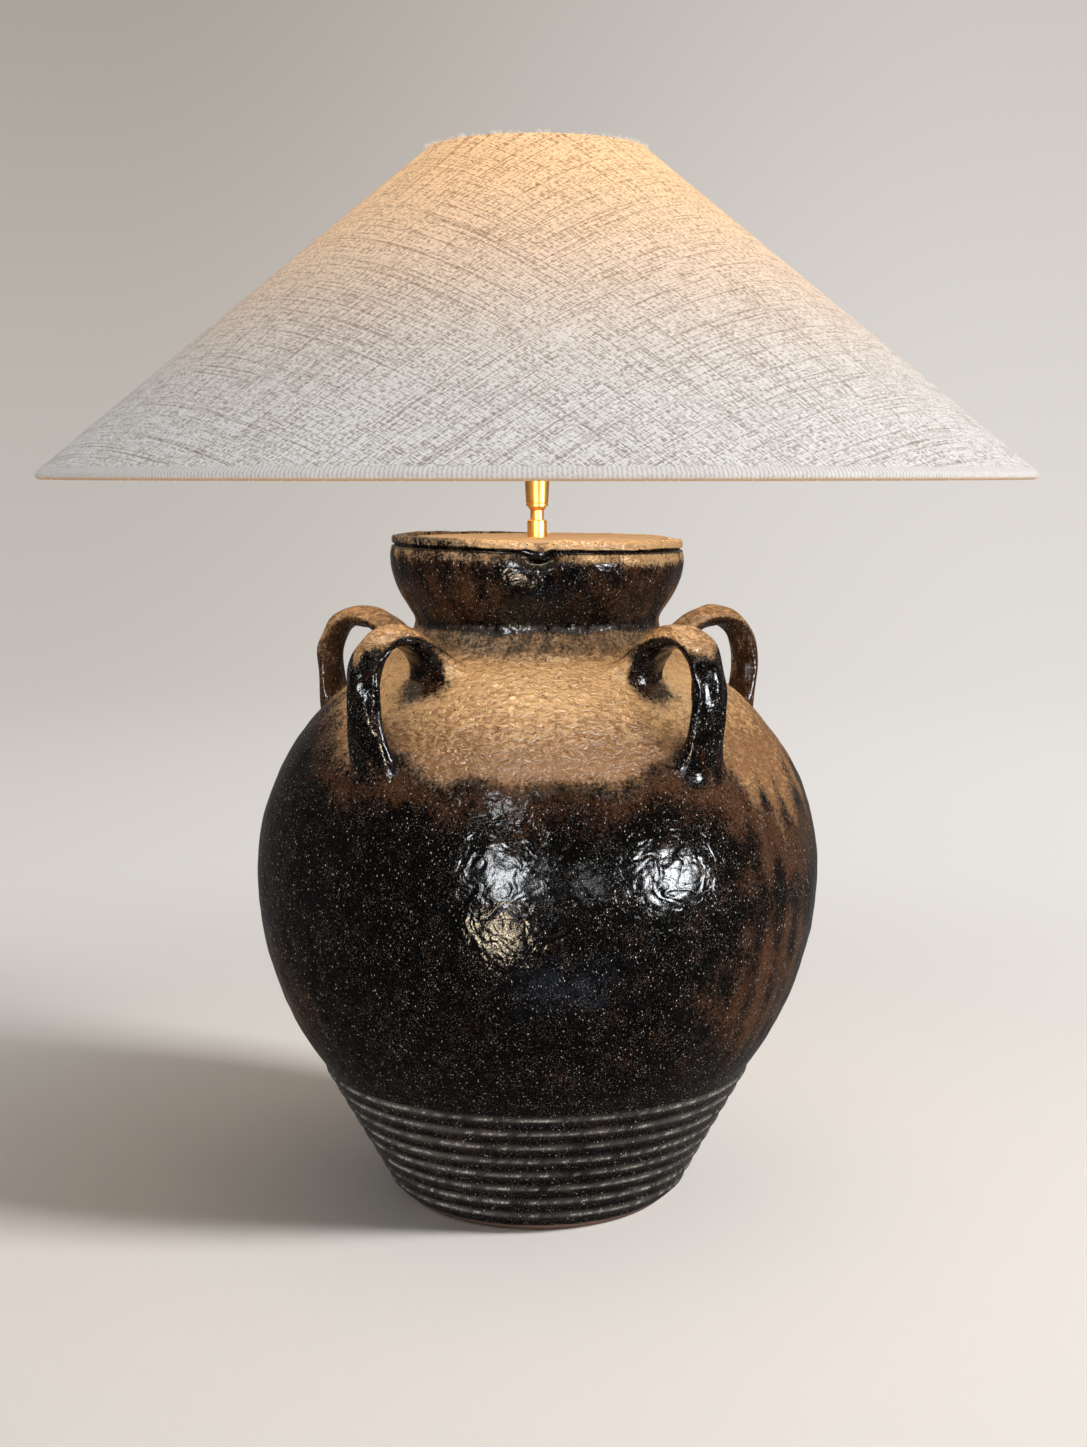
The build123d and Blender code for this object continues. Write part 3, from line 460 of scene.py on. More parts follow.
def ash_edge(turn):
    """Height, in millimetres, of the lower edge of the ash on the shoulder, by the turn from the front."""
    degrees = np.degrees(turn)
    edge = Z_ASH + 36 * smooth(-degrees, 44, 72) * smooth(degrees, -150, -110)
    for rise, middle, width in ASH_BENDS:
        edge = edge + rise * bell(degrees, middle, width)
    return edge + 1.6 * waves(turn, 0, 11, 12, (3, 22))


def glaze_layers(turn, height):
    """How much ash, brown, grey rubbing with painted sheen and bare clay lies on the jar, each from 0 to 1, by turn
    and height.
    """
    z = height / MM
    degrees = np.degrees(turn)
    edge = ash_edge(turn)
    drift = waves(turn, height, 12, 30, (2, 30), (-260, 260))
    # Ash on the shoulder, with a soft edge at the sides, drips on the right and less of it towards the neck
    soft = 24 + 60 * bell(degrees, 70, 22) + 50 * bell(degrees, -75, 26)
    drips = waves(turn, 0, 18, 24, (20, 60)) * bell(degrees, 66, 20)
    ash = np.clip((z - edge) / soft + 0.5 + 0.06 * drift + 0.22 * drips, 0, 1)
    ash = ash * (1 - 0.25 * bell(degrees, 68, 24) * (1 - smooth(z, 340, 372)))
    neck_edge = Z_NECK_ASH + 0.5 * waves(turn, 0, 13, 10, (2, 12))
    ash = ash * (1 - 0.46 * smooth(z, 364, 382)) * (1 - smooth(z, neck_edge - 2, neck_edge + 5))
    # Darker glaze pooled at the upper root of each strap, together with painted shade in the hollow there; painted
    # shade round the lower root
    pool_and_shade = strap_shade = 0.0
    for handle in HANDLE_TURNS.values():
        across = (degrees - handle + 180) % 360 - 180
        pool_and_shade = pool_and_shade + bell(across, 0, 8 + 2 * drift) * between(z, 336 + 4 * drift, 358, 362, 370)
        strap_shade = strap_shade + bell(across, 0, 9 + 2 * drift) * between(z, 286, 304, 322 + 6 * drift, 350)
    ash = ash * (1 - 0.85 * np.clip(pool_and_shade, 0, 1)) * (1 - 0.42 * np.clip(strap_shade, 0, 1))
    # A band of ash under the groove and more on the lip, both less to the left; both are cut back at the pinch,
    # painted shade in its hollow
    band_low = Z_BAND + 0.5 * waves(turn, 0, 17, 10, (2, 12)) + 7 * bell(degrees, 1, 7)
    band = between(z, band_low - 3, band_low + 3, 440.6, 442)
    lean = 0.1 * smooth(degrees, -10, 40) - 0.06 * smooth(-degrees, 5, 40)
    lip = smooth(z, 443.2, 444.6) * (1 - 0.5 * bell(degrees, 1, 4)) * (1 - 0.56 * smooth(-degrees, 8, 36))
    brown = 0.66 * bell(z, edge - 7, 17) + 0.7 * bell(z, 414, 26) * (1 - 0.95 * bell(degrees, 2, 18)) + 0.5 * band
    band = band * (0.52 + lean + 0.05 * drift) * (1 - 0.9 * bell(degrees, 1, 8))
    ash = np.clip(ash + band + lip, 0, 1)
    # Thin brown glaze: a broad flank on the right, cut back along the belly's widest circle as a painted dark
    # reflection, and patches lower down; round the straps the brown comes from pooled glaze and painted shade
    flank = bell(degrees, 57, 19) * between(z, 95, 145, 300, 330) * (1 - 0.6 * bell(z, 226, 14))
    brown = brown + (0.8 + 0.45 * drips) * flank + patches(degrees, z, BROWN_PATCHES)
    # The pooled glaze and the painted shade round the straps also add brown
    brown = brown + 0.7 * pool_and_shade + 0.45 * strap_shade + 0.12 * drift
    # Wear and painted sheen on the upper side of each ridge: a grey band, brightest where the lamps fall, and a
    # broken painted highlight line; grey wear with painted sheen on the neck's foot, and a painted highlight line at
    # its waist
    dashes = 0.5 + 0.5 * waves(turn, height, 14, 40, (4, 90), (-900, 900))
    cell = (z - TAPER_LOW[1]) / (Z_TAPER_HIGH - TAPER_LOW[1]) * RIDGES % 1 - 0.5
    lit = 0.5 + 0.5 * bell(degrees, -40, 20) + 0.35 * bell(degrees, 44, 18) + 0.15 * drift
    wear_and_sheen = 0.6 * bell(cell, 0.16, 0.17) * lit + 0.8 * bell(cell, 0.125, 0.07) * np.clip(2 * dashes - 0.5, 0, 1)
    wear_and_sheen = wear_and_sheen * between(z, 8, 14, 94, 101)
    wear_and_sheen = wear_and_sheen + 0.35 * between(z, 372, 382, 389, 393) * (0.8 + 0.2 * dashes)
    wear_and_sheen = wear_and_sheen + 0.9 * bell(z, 393.2, 1.3) * np.clip(dashes, 0, 1) * bell(degrees, 3, 40)
    clay = 1 - smooth(z, 4.2 + 0.8 * waves(turn, 0, 16, 12, (2, 30)), 6.6)
    layers = {"ash": ash, "brown": brown, "wear_and_sheen": wear_and_sheen, "clay": clay}
    return {name: np.clip(values, 0, 1) for name, values in layers.items()}


def jar_surface(settings):
    """Points of the jar: its section carried round the axis, moved along its normal by throwing wobble, dents and
    ripples, with a mouth that leans a little and a lip that is pinched in at the front."""
    section = jar_section()
    along = np.roll(section, -1, axis=0) - np.roll(section, 1, axis=0)
    normal = unit(np.stack([along[:, 1], -along[:, 0]], -1))
    turn = turns(JAR_COLUMNS, JAR_COLUMNS)
    radius, z = section[:, :1], section[:, 1:]
    rows = np.arange(len(section))[:, None]
    inside = rows > np.flatnonzero(section[:, 1] > Z_LIP - 1e-6)[-1] - 3
    outside = smooth(z, 8, 40) * ~inside
    height = z * MM
    move = settings.wobble * waves(turn, height, 1, 10, (1, 5), (-25, 25))
    move = move + 0.3 * settings.wobble * waves(turn, height, 2, 30, (5, 26), (-160, 160)) * smooth(z, 60, 140)
    move = move + settings.ripple * waves(turn, height, 3, 60, (30, 84), (-520, 520)) * smooth(z, 90, 130)
    move = move * outside * (1 - 0.5 * smooth(z, 400, 440))
    # The shallow, uneven ring on the shoulder below the neck
    ring = Z_RING + 1.3 * waves(turn, 0, 4, 10, (2, 22))
    move = move - 0.9 * MM * bell(z, ring, 1.8) * outside
    # The pinch: a hollow under the lip with a lump on each side, and the lip folded down over it
    across = radius * np.sin(turn) * (np.cos(turn) > 0) - PINCH_X + 1e3 * (np.cos(turn) <= 0)
    move = move + MM * patches(across, z, PINCH) * ~inside
    lip = smooth(z, 440, 446) * smooth(radius, 84, 88)
    fold = 0.8 * bell(across, 16, 7) - 3.4 * bell(across, 1, 7)
    drop = lip * (0.22 * waves(turn, 0, 5, 10, (2, 14)) + fold)
    lean = -radius * np.sin(turn) * math.tan(settings.rim_tilt) * smooth(z, 396, 446)
    r = radius * MM + normal[:, :1] * move
    top = height + normal[:, 1:] * move + (drop + lean) * MM
    return carried(r, turn, top), glaze_layers(turn, np.broadcast_to(height, r.shape))


def jar_height(r, z):
    """Distance, in millimetres, outside the jar's belly and shoulder: the excess of the ellipse's equation over 1,
    divided by the length of its slope."""
    half = np.where(z > Z_BELLY, SHOULDER_RISE, BELLY_FALL)
    value = np.sqrt((r / BELLY_R) ** 2 + ((z - Z_BELLY) / half) ** 2)
    slope = np.sqrt((r / BELLY_R**2) ** 2 + ((z - Z_BELLY) / half**2) ** 2) / value
    return (value - 1) / slope


def strap_surface(seed):
    """Points of one strap handle in its own plane: an oval carried along a cubic curve, wider and thicker at its
    roots, and spread out over the jar where it comes near the wall."""
    t = np.linspace(0, 1, STRAP_ROWS)[:, None]
    middle = curve(*STRAP_PATH, STRAP_ROWS, whole=True)
    way = unit(np.gradient(middle, axis=0))
    out_r, out_z = -way[:, 1:], way[:, :1]
    top = np.clip(1 - t / TOP_ROOT_SHARE, 0, 1) ** 2
    low = np.clip((t - 1 + LOW_ROOT_SHARE) / LOW_ROOT_SHARE, 0, 1) ** 2
    angle = np.arange(STRAP_COLUMNS)[None, :] / STRAP_COLUMNS * 2 * np.pi
    half_width = STRAP_HALF_WIDTH + ROOT_FLARE_TOP * top + ROOT_FLARE_LOW * low
    half_thick = STRAP_HALF_THICK + ROOT_EXTRA_THICK * (top + low)
    lumps = 0.5 * waves(angle, t, seed, 24, (1, 6), (-40, 40))
    # A strap pulled by hand: a soft rib down the middle of its outer face
    rib = 0.9 * bell(np.cos(angle), 0, 0.35) * (np.sin(angle) > 0) * (1 - top - low)
    across = (half_width + lumps) * np.cos(angle)
    lift = (half_thick + lumps + rib) * np.sin(angle)
    r = middle[:, :1] + out_r * lift
    z = middle[:, 1:] + out_z * lift
    gap = jar_height(np.hypot(r, across), z)
    spread = FILLET_REACH * np.exp(-np.clip(gap, 0, None) / FILLET_HEIGHT)
    across = across + spread * np.cos(angle)
    r = r + spread * np.sin(angle) * out_r
    z = z + spread * np.sin(angle) * out_z
    return r, across, z, t, np.broadcast_to(np.sin(angle), r.shape)


def strap_layers(r, across, z, t, outer, back, seed):
    """Ash on the crest of a strap, black glaze down its leg and round its roots, brown between them. The straps at
    the back have more ash and brown."""
    drift = waves(np.arctan2(across, STRAP_DRIFT_R), z * MM, seed, 30, (1, 7), (-320, 320))
    crest = smooth(z, 368, 398) * smooth(outer, -0.35, 0.5)
    ash = np.clip(crest * 1.05 + 0.12 * drift + 0.24 * back, 0, 1)
    near = np.exp(-np.clip(jar_height(np.hypot(r, across), z), 0, None) / 6)
    ash = np.maximum(ash, 0.75 * near * (t < 0.3) * smooth(outer, -0.2, 0.4))
    ash = np.maximum(ash, 0.8 * smooth(np.abs(across), 11, 17) * (t < 0.3))
    ash = np.maximum(ash, 0.42 * near * (t > 0.7))
    brown = np.clip(0.1 + 0.15 * drift + 0.6 * near + 0.75 * back, 0, 1)
    return {"ash": ash, "brown": brown, "wear_and_sheen": np.zeros(r.shape), "clay": np.zeros(r.shape)}


def shade_section():
    """Section of the linen as a closed line: its outer face round the lower wire, up the straight side and over
    the top wire, then its inner face back down."""
    low, top = np.array(LOW_RING), np.array(TOP_RING)
    up = unit(top - low)
    out = np.array([up[1], -up[0]])

    def face(low_r, top_r):
        """One face of the cloth, at these radii round the two wires."""
        wrap = math.radians(HEM_WRAP)
        angle = np.linspace(wrap, 0, HEM_ROWS, endpoint=False)[:, None]
        low_hem = low + low_r * (out * np.cos(angle) - up * np.sin(angle))
        side = run(low + out * low_r, top + out * top_r, PANEL_ROWS)
        angle = np.linspace(0, wrap, HEM_ROWS)[:, None]
        top_hem = top + top_r * (out * np.cos(angle) + up * np.sin(angle))
        return np.concatenate([low_hem, side, top_hem])

    outer = face(LOW_HEM_R, TOP_HEM_R)
    inner = face(LOW_HEM_R - LINEN_THICK * LOW_HEM_THIN, TOP_HEM_R - LINEN_THICK * TOP_HEM_THIN)
    inside = slice(HEM_ROWS, HEM_ROWS + PANEL_ROWS)
    inner[inside] = outer[inside] - out * LINEN_THICK
    return np.concatenate([outer, inner[::-1]]), len(outer), out


def shade_surface():
    """Points of the linen: its section carried round the axis, with a lapped seam at the back and a faint swell
    between the wires. Its layers are the share of the height and painted bulb light on the lower hem's underside."""
    section, outer_rows, out = shade_section()
    turn = turns(SHADE_COLUMNS, SHADE_COLUMNS)
    radius, z = section[:, :1], section[:, 1:]
    share = np.clip((z - LOW_RING[1]) / (TOP_RING[1] - LOW_RING[1]), 0, 1)
    on_outside = np.arange(len(section))[:, None] < outer_rows
    from_seam = radius * (np.pi - np.abs(turn))
    lap = SEAM_HEIGHT * smooth(-from_seam, -SEAM_WIDTH, -SEAM_WIDTH + SEAM_EDGE) * on_outside
    swell = np.sin(np.pi * share) * (0.3 + 0.12 * waves(turn, z * MM, 21, 16, (2, 14), (-30, 30)))
    move = (lap + swell) * MM
    points = carried(radius * MM + out[0] * move, turn, z * MM + out[1] * move)
    # Painted bulb light: the lowest rows of the lower hem, on its underside
    under = smooth(-z, -LOW_RING[1] + 0.9, -LOW_RING[1] + 2.4) * (share < 0.02)
    layers = {"rise": np.broadcast_to(share, move.shape), "under": np.broadcast_to(under, move.shape)}
    return points, layers, section, outer_rows


def cloth_map(section, outer_rows):
    """Flat pattern of the cone: a point at distance rho from the apex and turn a lies at (rho sin ka, rho cos ka),
    where k is the sine of the cone's half angle. Along each face rho falls by the length of the section, so the
    threads run on round the hems."""
    low, top = np.array(LOW_RING), np.array(TOP_RING)
    k = (low[0] - top[0]) / np.linalg.norm(top - low)
    turn = turns(SHADE_COLUMNS, SHADE_COLUMNS + 1)
    faces = []
    for face in (section[:outer_rows], section[outer_rows:][::-1]):
        length = np.concatenate([[0], np.cumsum(np.linalg.norm(np.diff(face, axis=0), axis=1))])
        faces.append(face[HEM_ROWS, 0] / k + length[HEM_ROWS] - length)
    rho = np.concatenate([faces[0], faces[1][::-1]])[:, None] * MM
    return np.stack([rho * np.sin(k * turn), -rho * np.cos(k * turn)], -1)


def set_map(obj, name, flat):
    """Give each corner of a grid's quads its place on the flat pattern."""
    low, high = flat, np.roll(flat, -1, axis=0)
    corners = np.stack([low[:, :-1], low[:, 1:], high[:, 1:], high[:, :-1]], 2)
    layer = obj.data.uv_layers.new(name=name)
    layer.uv.foreach_set("vector", corners.astype(np.float32).ravel())


def loose_threads(count):
    """Points and faces of frayed thread ends: thin three-sided cones, bent by a random amount, rooted along the
    top edge of the linen and, fewer, along its lower edge."""
    rng = np.random.default_rng(31)
    at_top = rng.random(count) < THREADS_AT_TOP
    clusters = rng.uniform(-np.pi, np.pi, THREAD_CLUSTERS)
    turn = clusters[rng.integers(0, len(clusters), count)] + rng.normal(0, 0.035, count)
    turn = np.where(at_top, turn, rng.uniform(-np.pi, np.pi, count))
    root_r = np.where(at_top, TOP_RING[0] + rng.uniform(-0.5, 2.0, count), LOW_RING[0] + rng.uniform(0.5, 2.3, count))
    root_z = np.where(at_top, TOP_RING[1] + TOP_HEM_R - 0.5, LOW_RING[1] - LOW_HEM_R + 0.6)
    length = np.where(at_top, rng.uniform(1.0, 3.6, count), rng.uniform(0.8, 2.4, count))
    rise = np.where(at_top, 1.0, -0.7)[:, None]
    lean = rng.normal(0, 0.7, (count, 2))
    radial = np.stack([np.sin(turn), -np.cos(turn), np.zeros(count)], -1)
    around = np.stack([np.cos(turn), np.sin(turn), np.zeros(count)], -1)
    up = np.array([0.0, 0.0, 1.0])
    way = unit(up * rise + lean[:, :1] * around + (0.25 + 0.5 * lean[:, 1:]) * radial)
    bend = rng.normal(0, 0.45, (count, 1)) * around
    steps = np.linspace(0, 1, THREAD_ROWS)
    along = steps[None, :, None]
    root = radial * root_r[:, None] + up * root_z[:, None]
    spine = root[:, None] + length[:, None, None] * (way[:, None] * along + bend[:, None] * along**2)
    thick = THREAD_R * (1 - 0.7 * steps)
    angle = np.arange(THREAD_SIDES) * 2 * np.pi / THREAD_SIDES
    side = unit(np.cross(way, radial))
    other = np.cross(way, side)
    ringed = side[:, None, None] * np.cos(angle)[:, None] + other[:, None, None] * np.sin(angle)[:, None]
    points = spine[:, :, None] + ringed * thick[None, :, None, None]
    start = np.arange(count)[:, None, None] * THREAD_ROWS * THREAD_SIDES
    quads = start + grid_faces(THREAD_ROWS, THREAD_SIDES, False)
    return points * MM, quads.reshape(-1, 4)


def studio_sweep():
    """Points of the floor: a disc that turns up all round through a quarter circle into a wall."""
    angle = np.linspace(0, math.pi / 2, 18)[1:]
    flat = np.linspace(0.02, FLOOR_R, 24)
    wall = np.linspace(FLOOR_BEND + 0.2, WALL_TOP, 6)
    radius = np.concatenate([flat, FLOOR_R + FLOOR_BEND * np.sin(angle), np.full(len(wall), FLOOR_R + FLOOR_BEND)])
    height = np.concatenate([np.zeros(len(flat)), FLOOR_BEND * (1 - np.cos(angle)), wall])
    turn = np.arange(FLOOR_COLUMNS) / FLOOR_COLUMNS * 2 * np.pi
    return carried(radius[:, None], turn, height[:, None])


# Node materials


class Coat:
    """A node material being made, with its shader and its object coordinates"""

    def __init__(self, name, viewport):
        self.material = bpy.data.materials.new(name)
        self.material.use_nodes = True
        self.material.diffuse_color = (*viewport[:3], 1.0)
        self.tree = self.material.node_tree
        self.shader = self.tree.nodes["Principled BSDF"]
        self.place = self.add("TexCoord").outputs["Object"]

    def put(self, socket, value):
        """Set a socket to a value, or link another node's output to it."""
        if isinstance(value, bpy.types.NodeSocket):
            self.tree.links.new(value, socket)
        else:
            socket.default_value = (*value[:3], 1.0) if socket.type == "RGBA" else value

    def add(self, kind, inputs=None, **settings):
        """Add a node and put its inputs."""
        made = self.tree.nodes.new("ShaderNode" + kind)
        for name, value in settings.items():
            setattr(made, name, value)
        for name, value in (inputs or {}).items():
            self.put(made.inputs[name], value)
        return made

    def feed(self, **inputs):
        """Put the shader's inputs; an underscore in a name stands for a space."""
        for name, value in inputs.items():
            self.put(self.shader.inputs[name.replace("_", " ")], value)

    def calc(self, operation, a, b=0.0, c=0.0):
        """One step of arithmetic."""
        return self.add("Math", {0: a, 1: b, 2: c}, operation=operation).outputs[0]

    def times(self, a, b):
        """Product of two values."""
        return self.calc("MULTIPLY", a, b)

    def plus(self, a, weight, b):
        """A value times its weight, plus another value."""
        return self.calc("MULTIPLY_ADD", a, weight, b)

    def step(self, value, low, high, to_low=0.0, to_high=1.0):
        """Smooth step of a value between two limits."""
        limits = {"Value": value, "From Min": low, "From Max": high, "To Min": to_low, "To Max": to_high}
        return self.add("MapRange", limits, interpolation_type="SMOOTHSTEP").outputs["Result"]

    def blend(self, share, a, b):
        """Mix of two colours."""
        return self.add("Mix", {0: share, 6: a, 7: b}, data_type="RGBA").outputs[2]

    def axes(self):
        """The three object coordinates, as outputs X, Y and Z."""
        return self.add("SeparateXYZ", {"Vector": self.place}).outputs

    def noise(self, vector, scale, detail=3.0, roughness=0.5, distortion=0.0):
        """Cloudy pattern around 0.5."""
        inputs = {"Vector": vector, "Scale": scale, "Detail": detail, "Roughness": roughness}
        return self.add("TexNoise", {**inputs, "Distortion": distortion}).outputs["Fac"]

    def stretch(self, vector, scale, turn=(0.0, 0.0, 0.0)):
        """Coordinates turned and then stretched."""
        turned = self.add("Mapping", {"Vector": vector, "Rotation": turn}).outputs["Vector"]
        return self.add("Mapping", {"Vector": turned, "Scale": scale}).outputs["Vector"]

    def bump(self, height, distance, strength, below=None):
        """Bump from a height between 0 and 1, over a bump that is already there."""
        inputs = {"Height": height, "Distance": distance, "Strength": strength}
        if below is not None:
            inputs["Normal"] = below
        return self.add("Bump", inputs).outputs["Normal"]

    def layer(self, name):
        """A number that the mesh carries at each point."""
        return self.add("Attribute", attribute_name=name).outputs["Fac"]

    def ragged(self, value, *patterns):
        """A value roughened by patterns that vary around 0.5, each with its weight."""
        for pattern, weight in patterns:
            value = self.plus(self.calc("SUBTRACT", pattern, 0.5), weight, value)
        return value

    def spots(self, vector, scale, radius, chosen):
        """Round spots of about the given radius, in cells, in the chosen share of the cells."""
        cells = self.add("TexVoronoi", {"Vector": vector, "Scale": scale, "Randomness": 1.0}).outputs
        pick = self.add("SeparateColor", {"Color": cells["Color"]}).outputs[1]
        size = self.plus(pick, 0.4 * radius, 0.8 * radius)
        inside = self.step(self.calc("SUBTRACT", cells["Distance"], size), 0.03, -0.05)
        return self.times(inside, self.step(pick, 1 - chosen - 0.03, 1 - chosen + 0.03))


def glaze_material(settings):
    """Iron-black glaze with brown breaks, ochre ash that is paler on top partly as painted light, stains, pits,
    grey rubbed ridges with painted sheen, white specks, dust and bare clay.
    """
    coat = Coat("iron_glaze", settings.brown_glaze)
    rise = coat.axes()["Z"]
    cloud = coat.noise(coat.place, 24.0, 4.0, 0.55)
    mottle = coat.noise(coat.place, 95.0, 4.0, 0.6)
    grain = coat.noise(coat.place, 430.0, 3.0, 0.65)
    fine = coat.noise(coat.place, 1100.0, 2.0, 0.6)
    streak = coat.noise(coat.stretch(coat.place, (150.0, 150.0, 14.0)), 1.0, 3.0, 0.6)
    wrinkle = coat.noise(coat.stretch(coat.place, (1.0, 1.0, 2.0)), 190.0, 2.0, 0.5, 0.8)
    ash = coat.ragged(coat.layer("ash"), (mottle, 0.35), (grain, 0.8), (fine, 0.4), (streak, 0.4))
    ash = coat.step(ash, 0.34, 0.68)
    warm = coat.ragged(coat.layer("brown"), (streak, 0.8), (mottle, 0.5), (grain, 2.0), (fine, 1.8))
    dark = coat.blend(coat.step(warm, 0.2, 1.35), settings.black_glaze, settings.brown_glaze)
    # Paler towards the top, on the lip and on the strap crests: partly the ash's own tone, partly painted light from
    # above
    collar = coat.times(coat.step(rise, *COLLAR_RISE, 0.0, 0.6), coat.step(rise, *COLLAR_FALL))
    pale = coat.calc("SUBTRACT", coat.step(rise, *PALE_LIT_RISE, 0.06, 1.05), collar)
    # Paler on the wrinkle crests and darker in their valleys: a painted highlight and painted shade on the relief
    pale = coat.ragged(pale, (cloud, 0.9), (coat.step(wrinkle, 0.36, 0.64), 0.5), (fine, 0.8))
    ochre = coat.blend(coat.step(pale, 0.0, 1.1), settings.ash, settings.lit_pale_ash)
    stain = coat.ragged(mottle, (grain, 0.9), (streak, 0.4), (fine, 0.4))
    ochre = coat.blend(coat.step(stain, 0.55, 0.95, 0.0, 0.75), ochre, STAIN)
    colour = coat.blend(ash, dark, ochre)
    pit = coat.spots(coat.stretch(coat.place, (1.0, 1.0, 1.5)), 260.0, 0.16, 0.5)
    colour = coat.blend(coat.times(pit, ash), colour, PIT)
    wear_and_sheen = coat.layer("wear_and_sheen")
    # Grey wear on the ridge tops and the neck's foot, with painted sheen and painted highlight lines on them
    worn_and_sheen = coat.step(coat.ragged(wear_and_sheen, (grain, 2.0), (fine, 1.4), (mottle, 0.7)), 0.75, 1.15)
    worn_and_sheen = coat.calc("MAXIMUM", worn_and_sheen, coat.times(wear_and_sheen, 0.34))
    colour = coat.blend(worn_and_sheen, colour, settings.worn_and_sheen)
    speck = coat.spots(coat.stretch(coat.place, (1.0, 1.0, 0.5)), 620.0, 0.16, 0.62)
    speck = coat.times(speck, coat.step(grain, 0.44, 0.62, 0.1))
    speck = coat.times(speck, coat.plus(ash, -0.85, 1.0))
    dust = coat.spots(coat.place, 1150.0, 0.2, 0.9)
    dust = coat.times(dust, coat.step(mottle, 0.36, 0.68, 0.04, 0.4))
    speck = coat.calc("MAXIMUM", speck, coat.times(dust, coat.calc("SUBTRACT", 1.0, ash)))
    colour = coat.blend(speck, colour, settings.speck)
    clay = coat.step(coat.ragged(coat.layer("clay"), (mottle, 0.5), (grain, 0.4)), 0.4, 0.6)
    colour = coat.blend(clay, colour, settings.clay)
    rough = coat.plus(ash, 0.14, coat.step(mottle, 0.3, 0.75, 0.06, 0.13))
    rough = coat.plus(worn_and_sheen, 0.25, rough)
    rough = coat.plus(clay, 0.5, rough)
    ripple = coat.noise(coat.place, 84.0, 1.0, 0.5, 1.6)
    normal = coat.bump(coat.times(ripple, coat.step(rise, *RIPPLE_RISE)), 0.0014, 0.55)
    normal = coat.bump(coat.times(wrinkle, ash), 0.005, 0.8, normal)
    lumps = coat.calc("SUBTRACT", coat.ragged(grain, (fine, 0.6)), coat.times(pit, 0.9))
    normal = coat.bump(coat.calc("ADD", lumps, speck), 0.00022, 0.5, normal)
    shine = coat.step(ash, 0.0, 1.0, 0.17, 0.5)
    coat.feed(Base_Color=colour, Roughness=rough, Normal=normal, Specular_IOR_Level=shine)
    return coat.material


def linen_material(settings):
    """Slubby plain weave laid on the bias, with the bulb's warm light coming through its upper half."""
    coat = Coat("slub_linen", settings.linen)
    flat = coat.add("UVMap", uv_map="cloth").outputs["UV"]
    bias = (0.0, 0.0, math.radians(45))
    slubs, pale, yarns, dashes = [], [], [], []
    for warp in (True, False):
        for patterns, across, along in (
            (slubs, 720.0, 5.0),
            (pale, 760.0, 40.0),
            (yarns, 640.0, 46.0),
            (dashes, 1100.0, 300.0),
        ):
            scale = (across, along, 1.0) if warp else (along, across, 1.0)
            patterns.append(coat.noise(coat.stretch(flat, scale, bias), 1.0, 1.0))
    slub = coat.calc("MAXIMUM", *(coat.step(pattern, 0.58, 0.65) for pattern in slubs))
    white = coat.calc("MAXIMUM", *(coat.step(pattern, 0.58, 0.66) for pattern in pale))
    yarn = coat.times(coat.calc("ADD", *yarns), 0.5)
    dash = coat.times(coat.calc("ADD", *dashes), 0.5)
    weave = coat.step(coat.ragged(yarn, (dash, 1.9)), 0.28, 0.6, 0.85, 0.0)
    thread = coat.calc("MINIMUM", coat.plus(slub, 0.5, weave), 1.0)
    thread = coat.times(thread, coat.plus(white, -0.6, 1.0))
    rise = coat.layer("rise")
    axes = coat.axes()
    around = coat.calc("ARCTAN2", axes["X"], axes["Y"])
    rib = coat.calc("SINE", coat.plus(around, HEM_RIBS, coat.times(dash, 9.0)))
    rib = coat.step(rib, -0.2, 0.9, 0.16, 0.5)
    hem = coat.step(rise, 0.026, 0.018)
    thread = coat.plus(coat.calc("SUBTRACT", rib, thread), hem, thread)
    lit = coat.step(rise, 0.08, 1.05)
    cloth = coat.blend(lit, settings.linen, settings.lit_linen)
    dark = coat.blend(lit, settings.slub, LIT_SLUB)
    colour = coat.blend(thread, cloth, dark)
    # Painted light: the underside of the lower hem takes a warm lit colour and some glow, as from the bulb
    under = coat.layer("under")
    colour = coat.blend(under, colour, LIT_HEM_UNDERSIDE)
    through = coat.times(coat.calc("POWER", lit, 1.6), coat.calc("SUBTRACT", 1.0, thread))
    through = coat.plus(under, 0.35, through)
    strength = coat.times(through, settings.glow_strength)
    normal = coat.bump(coat.ragged(dash, (yarn, 0.8), (white, 0.4)), 0.0011, 0.7)
    coat.feed(Base_Color=colour, Roughness=0.85, Normal=normal, Sheen_Weight=0.15, Sheen_Roughness=0.5)
    coat.feed(Emission_Color=settings.glow, Emission_Strength=strength)
    return coat.material


def thread_material(settings):
    """Bleached thread ends, lit from below."""
    coat = Coat("frayed_thread", settings.linen)
    pale = coat.blend(coat.noise(coat.place, 60.0), *THREAD_ENDS)
    coat.feed(Base_Color=pale, Roughness=0.9, Emission_Color=(1.0, 0.75, 0.5), Emission_Strength=0.12)
    return coat.material


def lining_material():
    """Thin pale lining, lit by the bulb most strongly near the top."""
    coat = Coat("shade_lining", (0.9, 0.86, 0.78))
    near = coat.step(coat.axes()["Z"], LOW_RING[1] * MM, TOP_RING[1] * MM, 0.1, 0.75)
    grain = coat.noise(coat.place, 220.0)
    coat.feed(Base_Color=coat.blend(grain, *LINING), Roughness=0.7, Normal=coat.bump(grain, 0.0003, 0.4))
    coat.feed(Emission_Color=(1.0, 0.72, 0.42), Emission_Strength=near)
    return coat.material


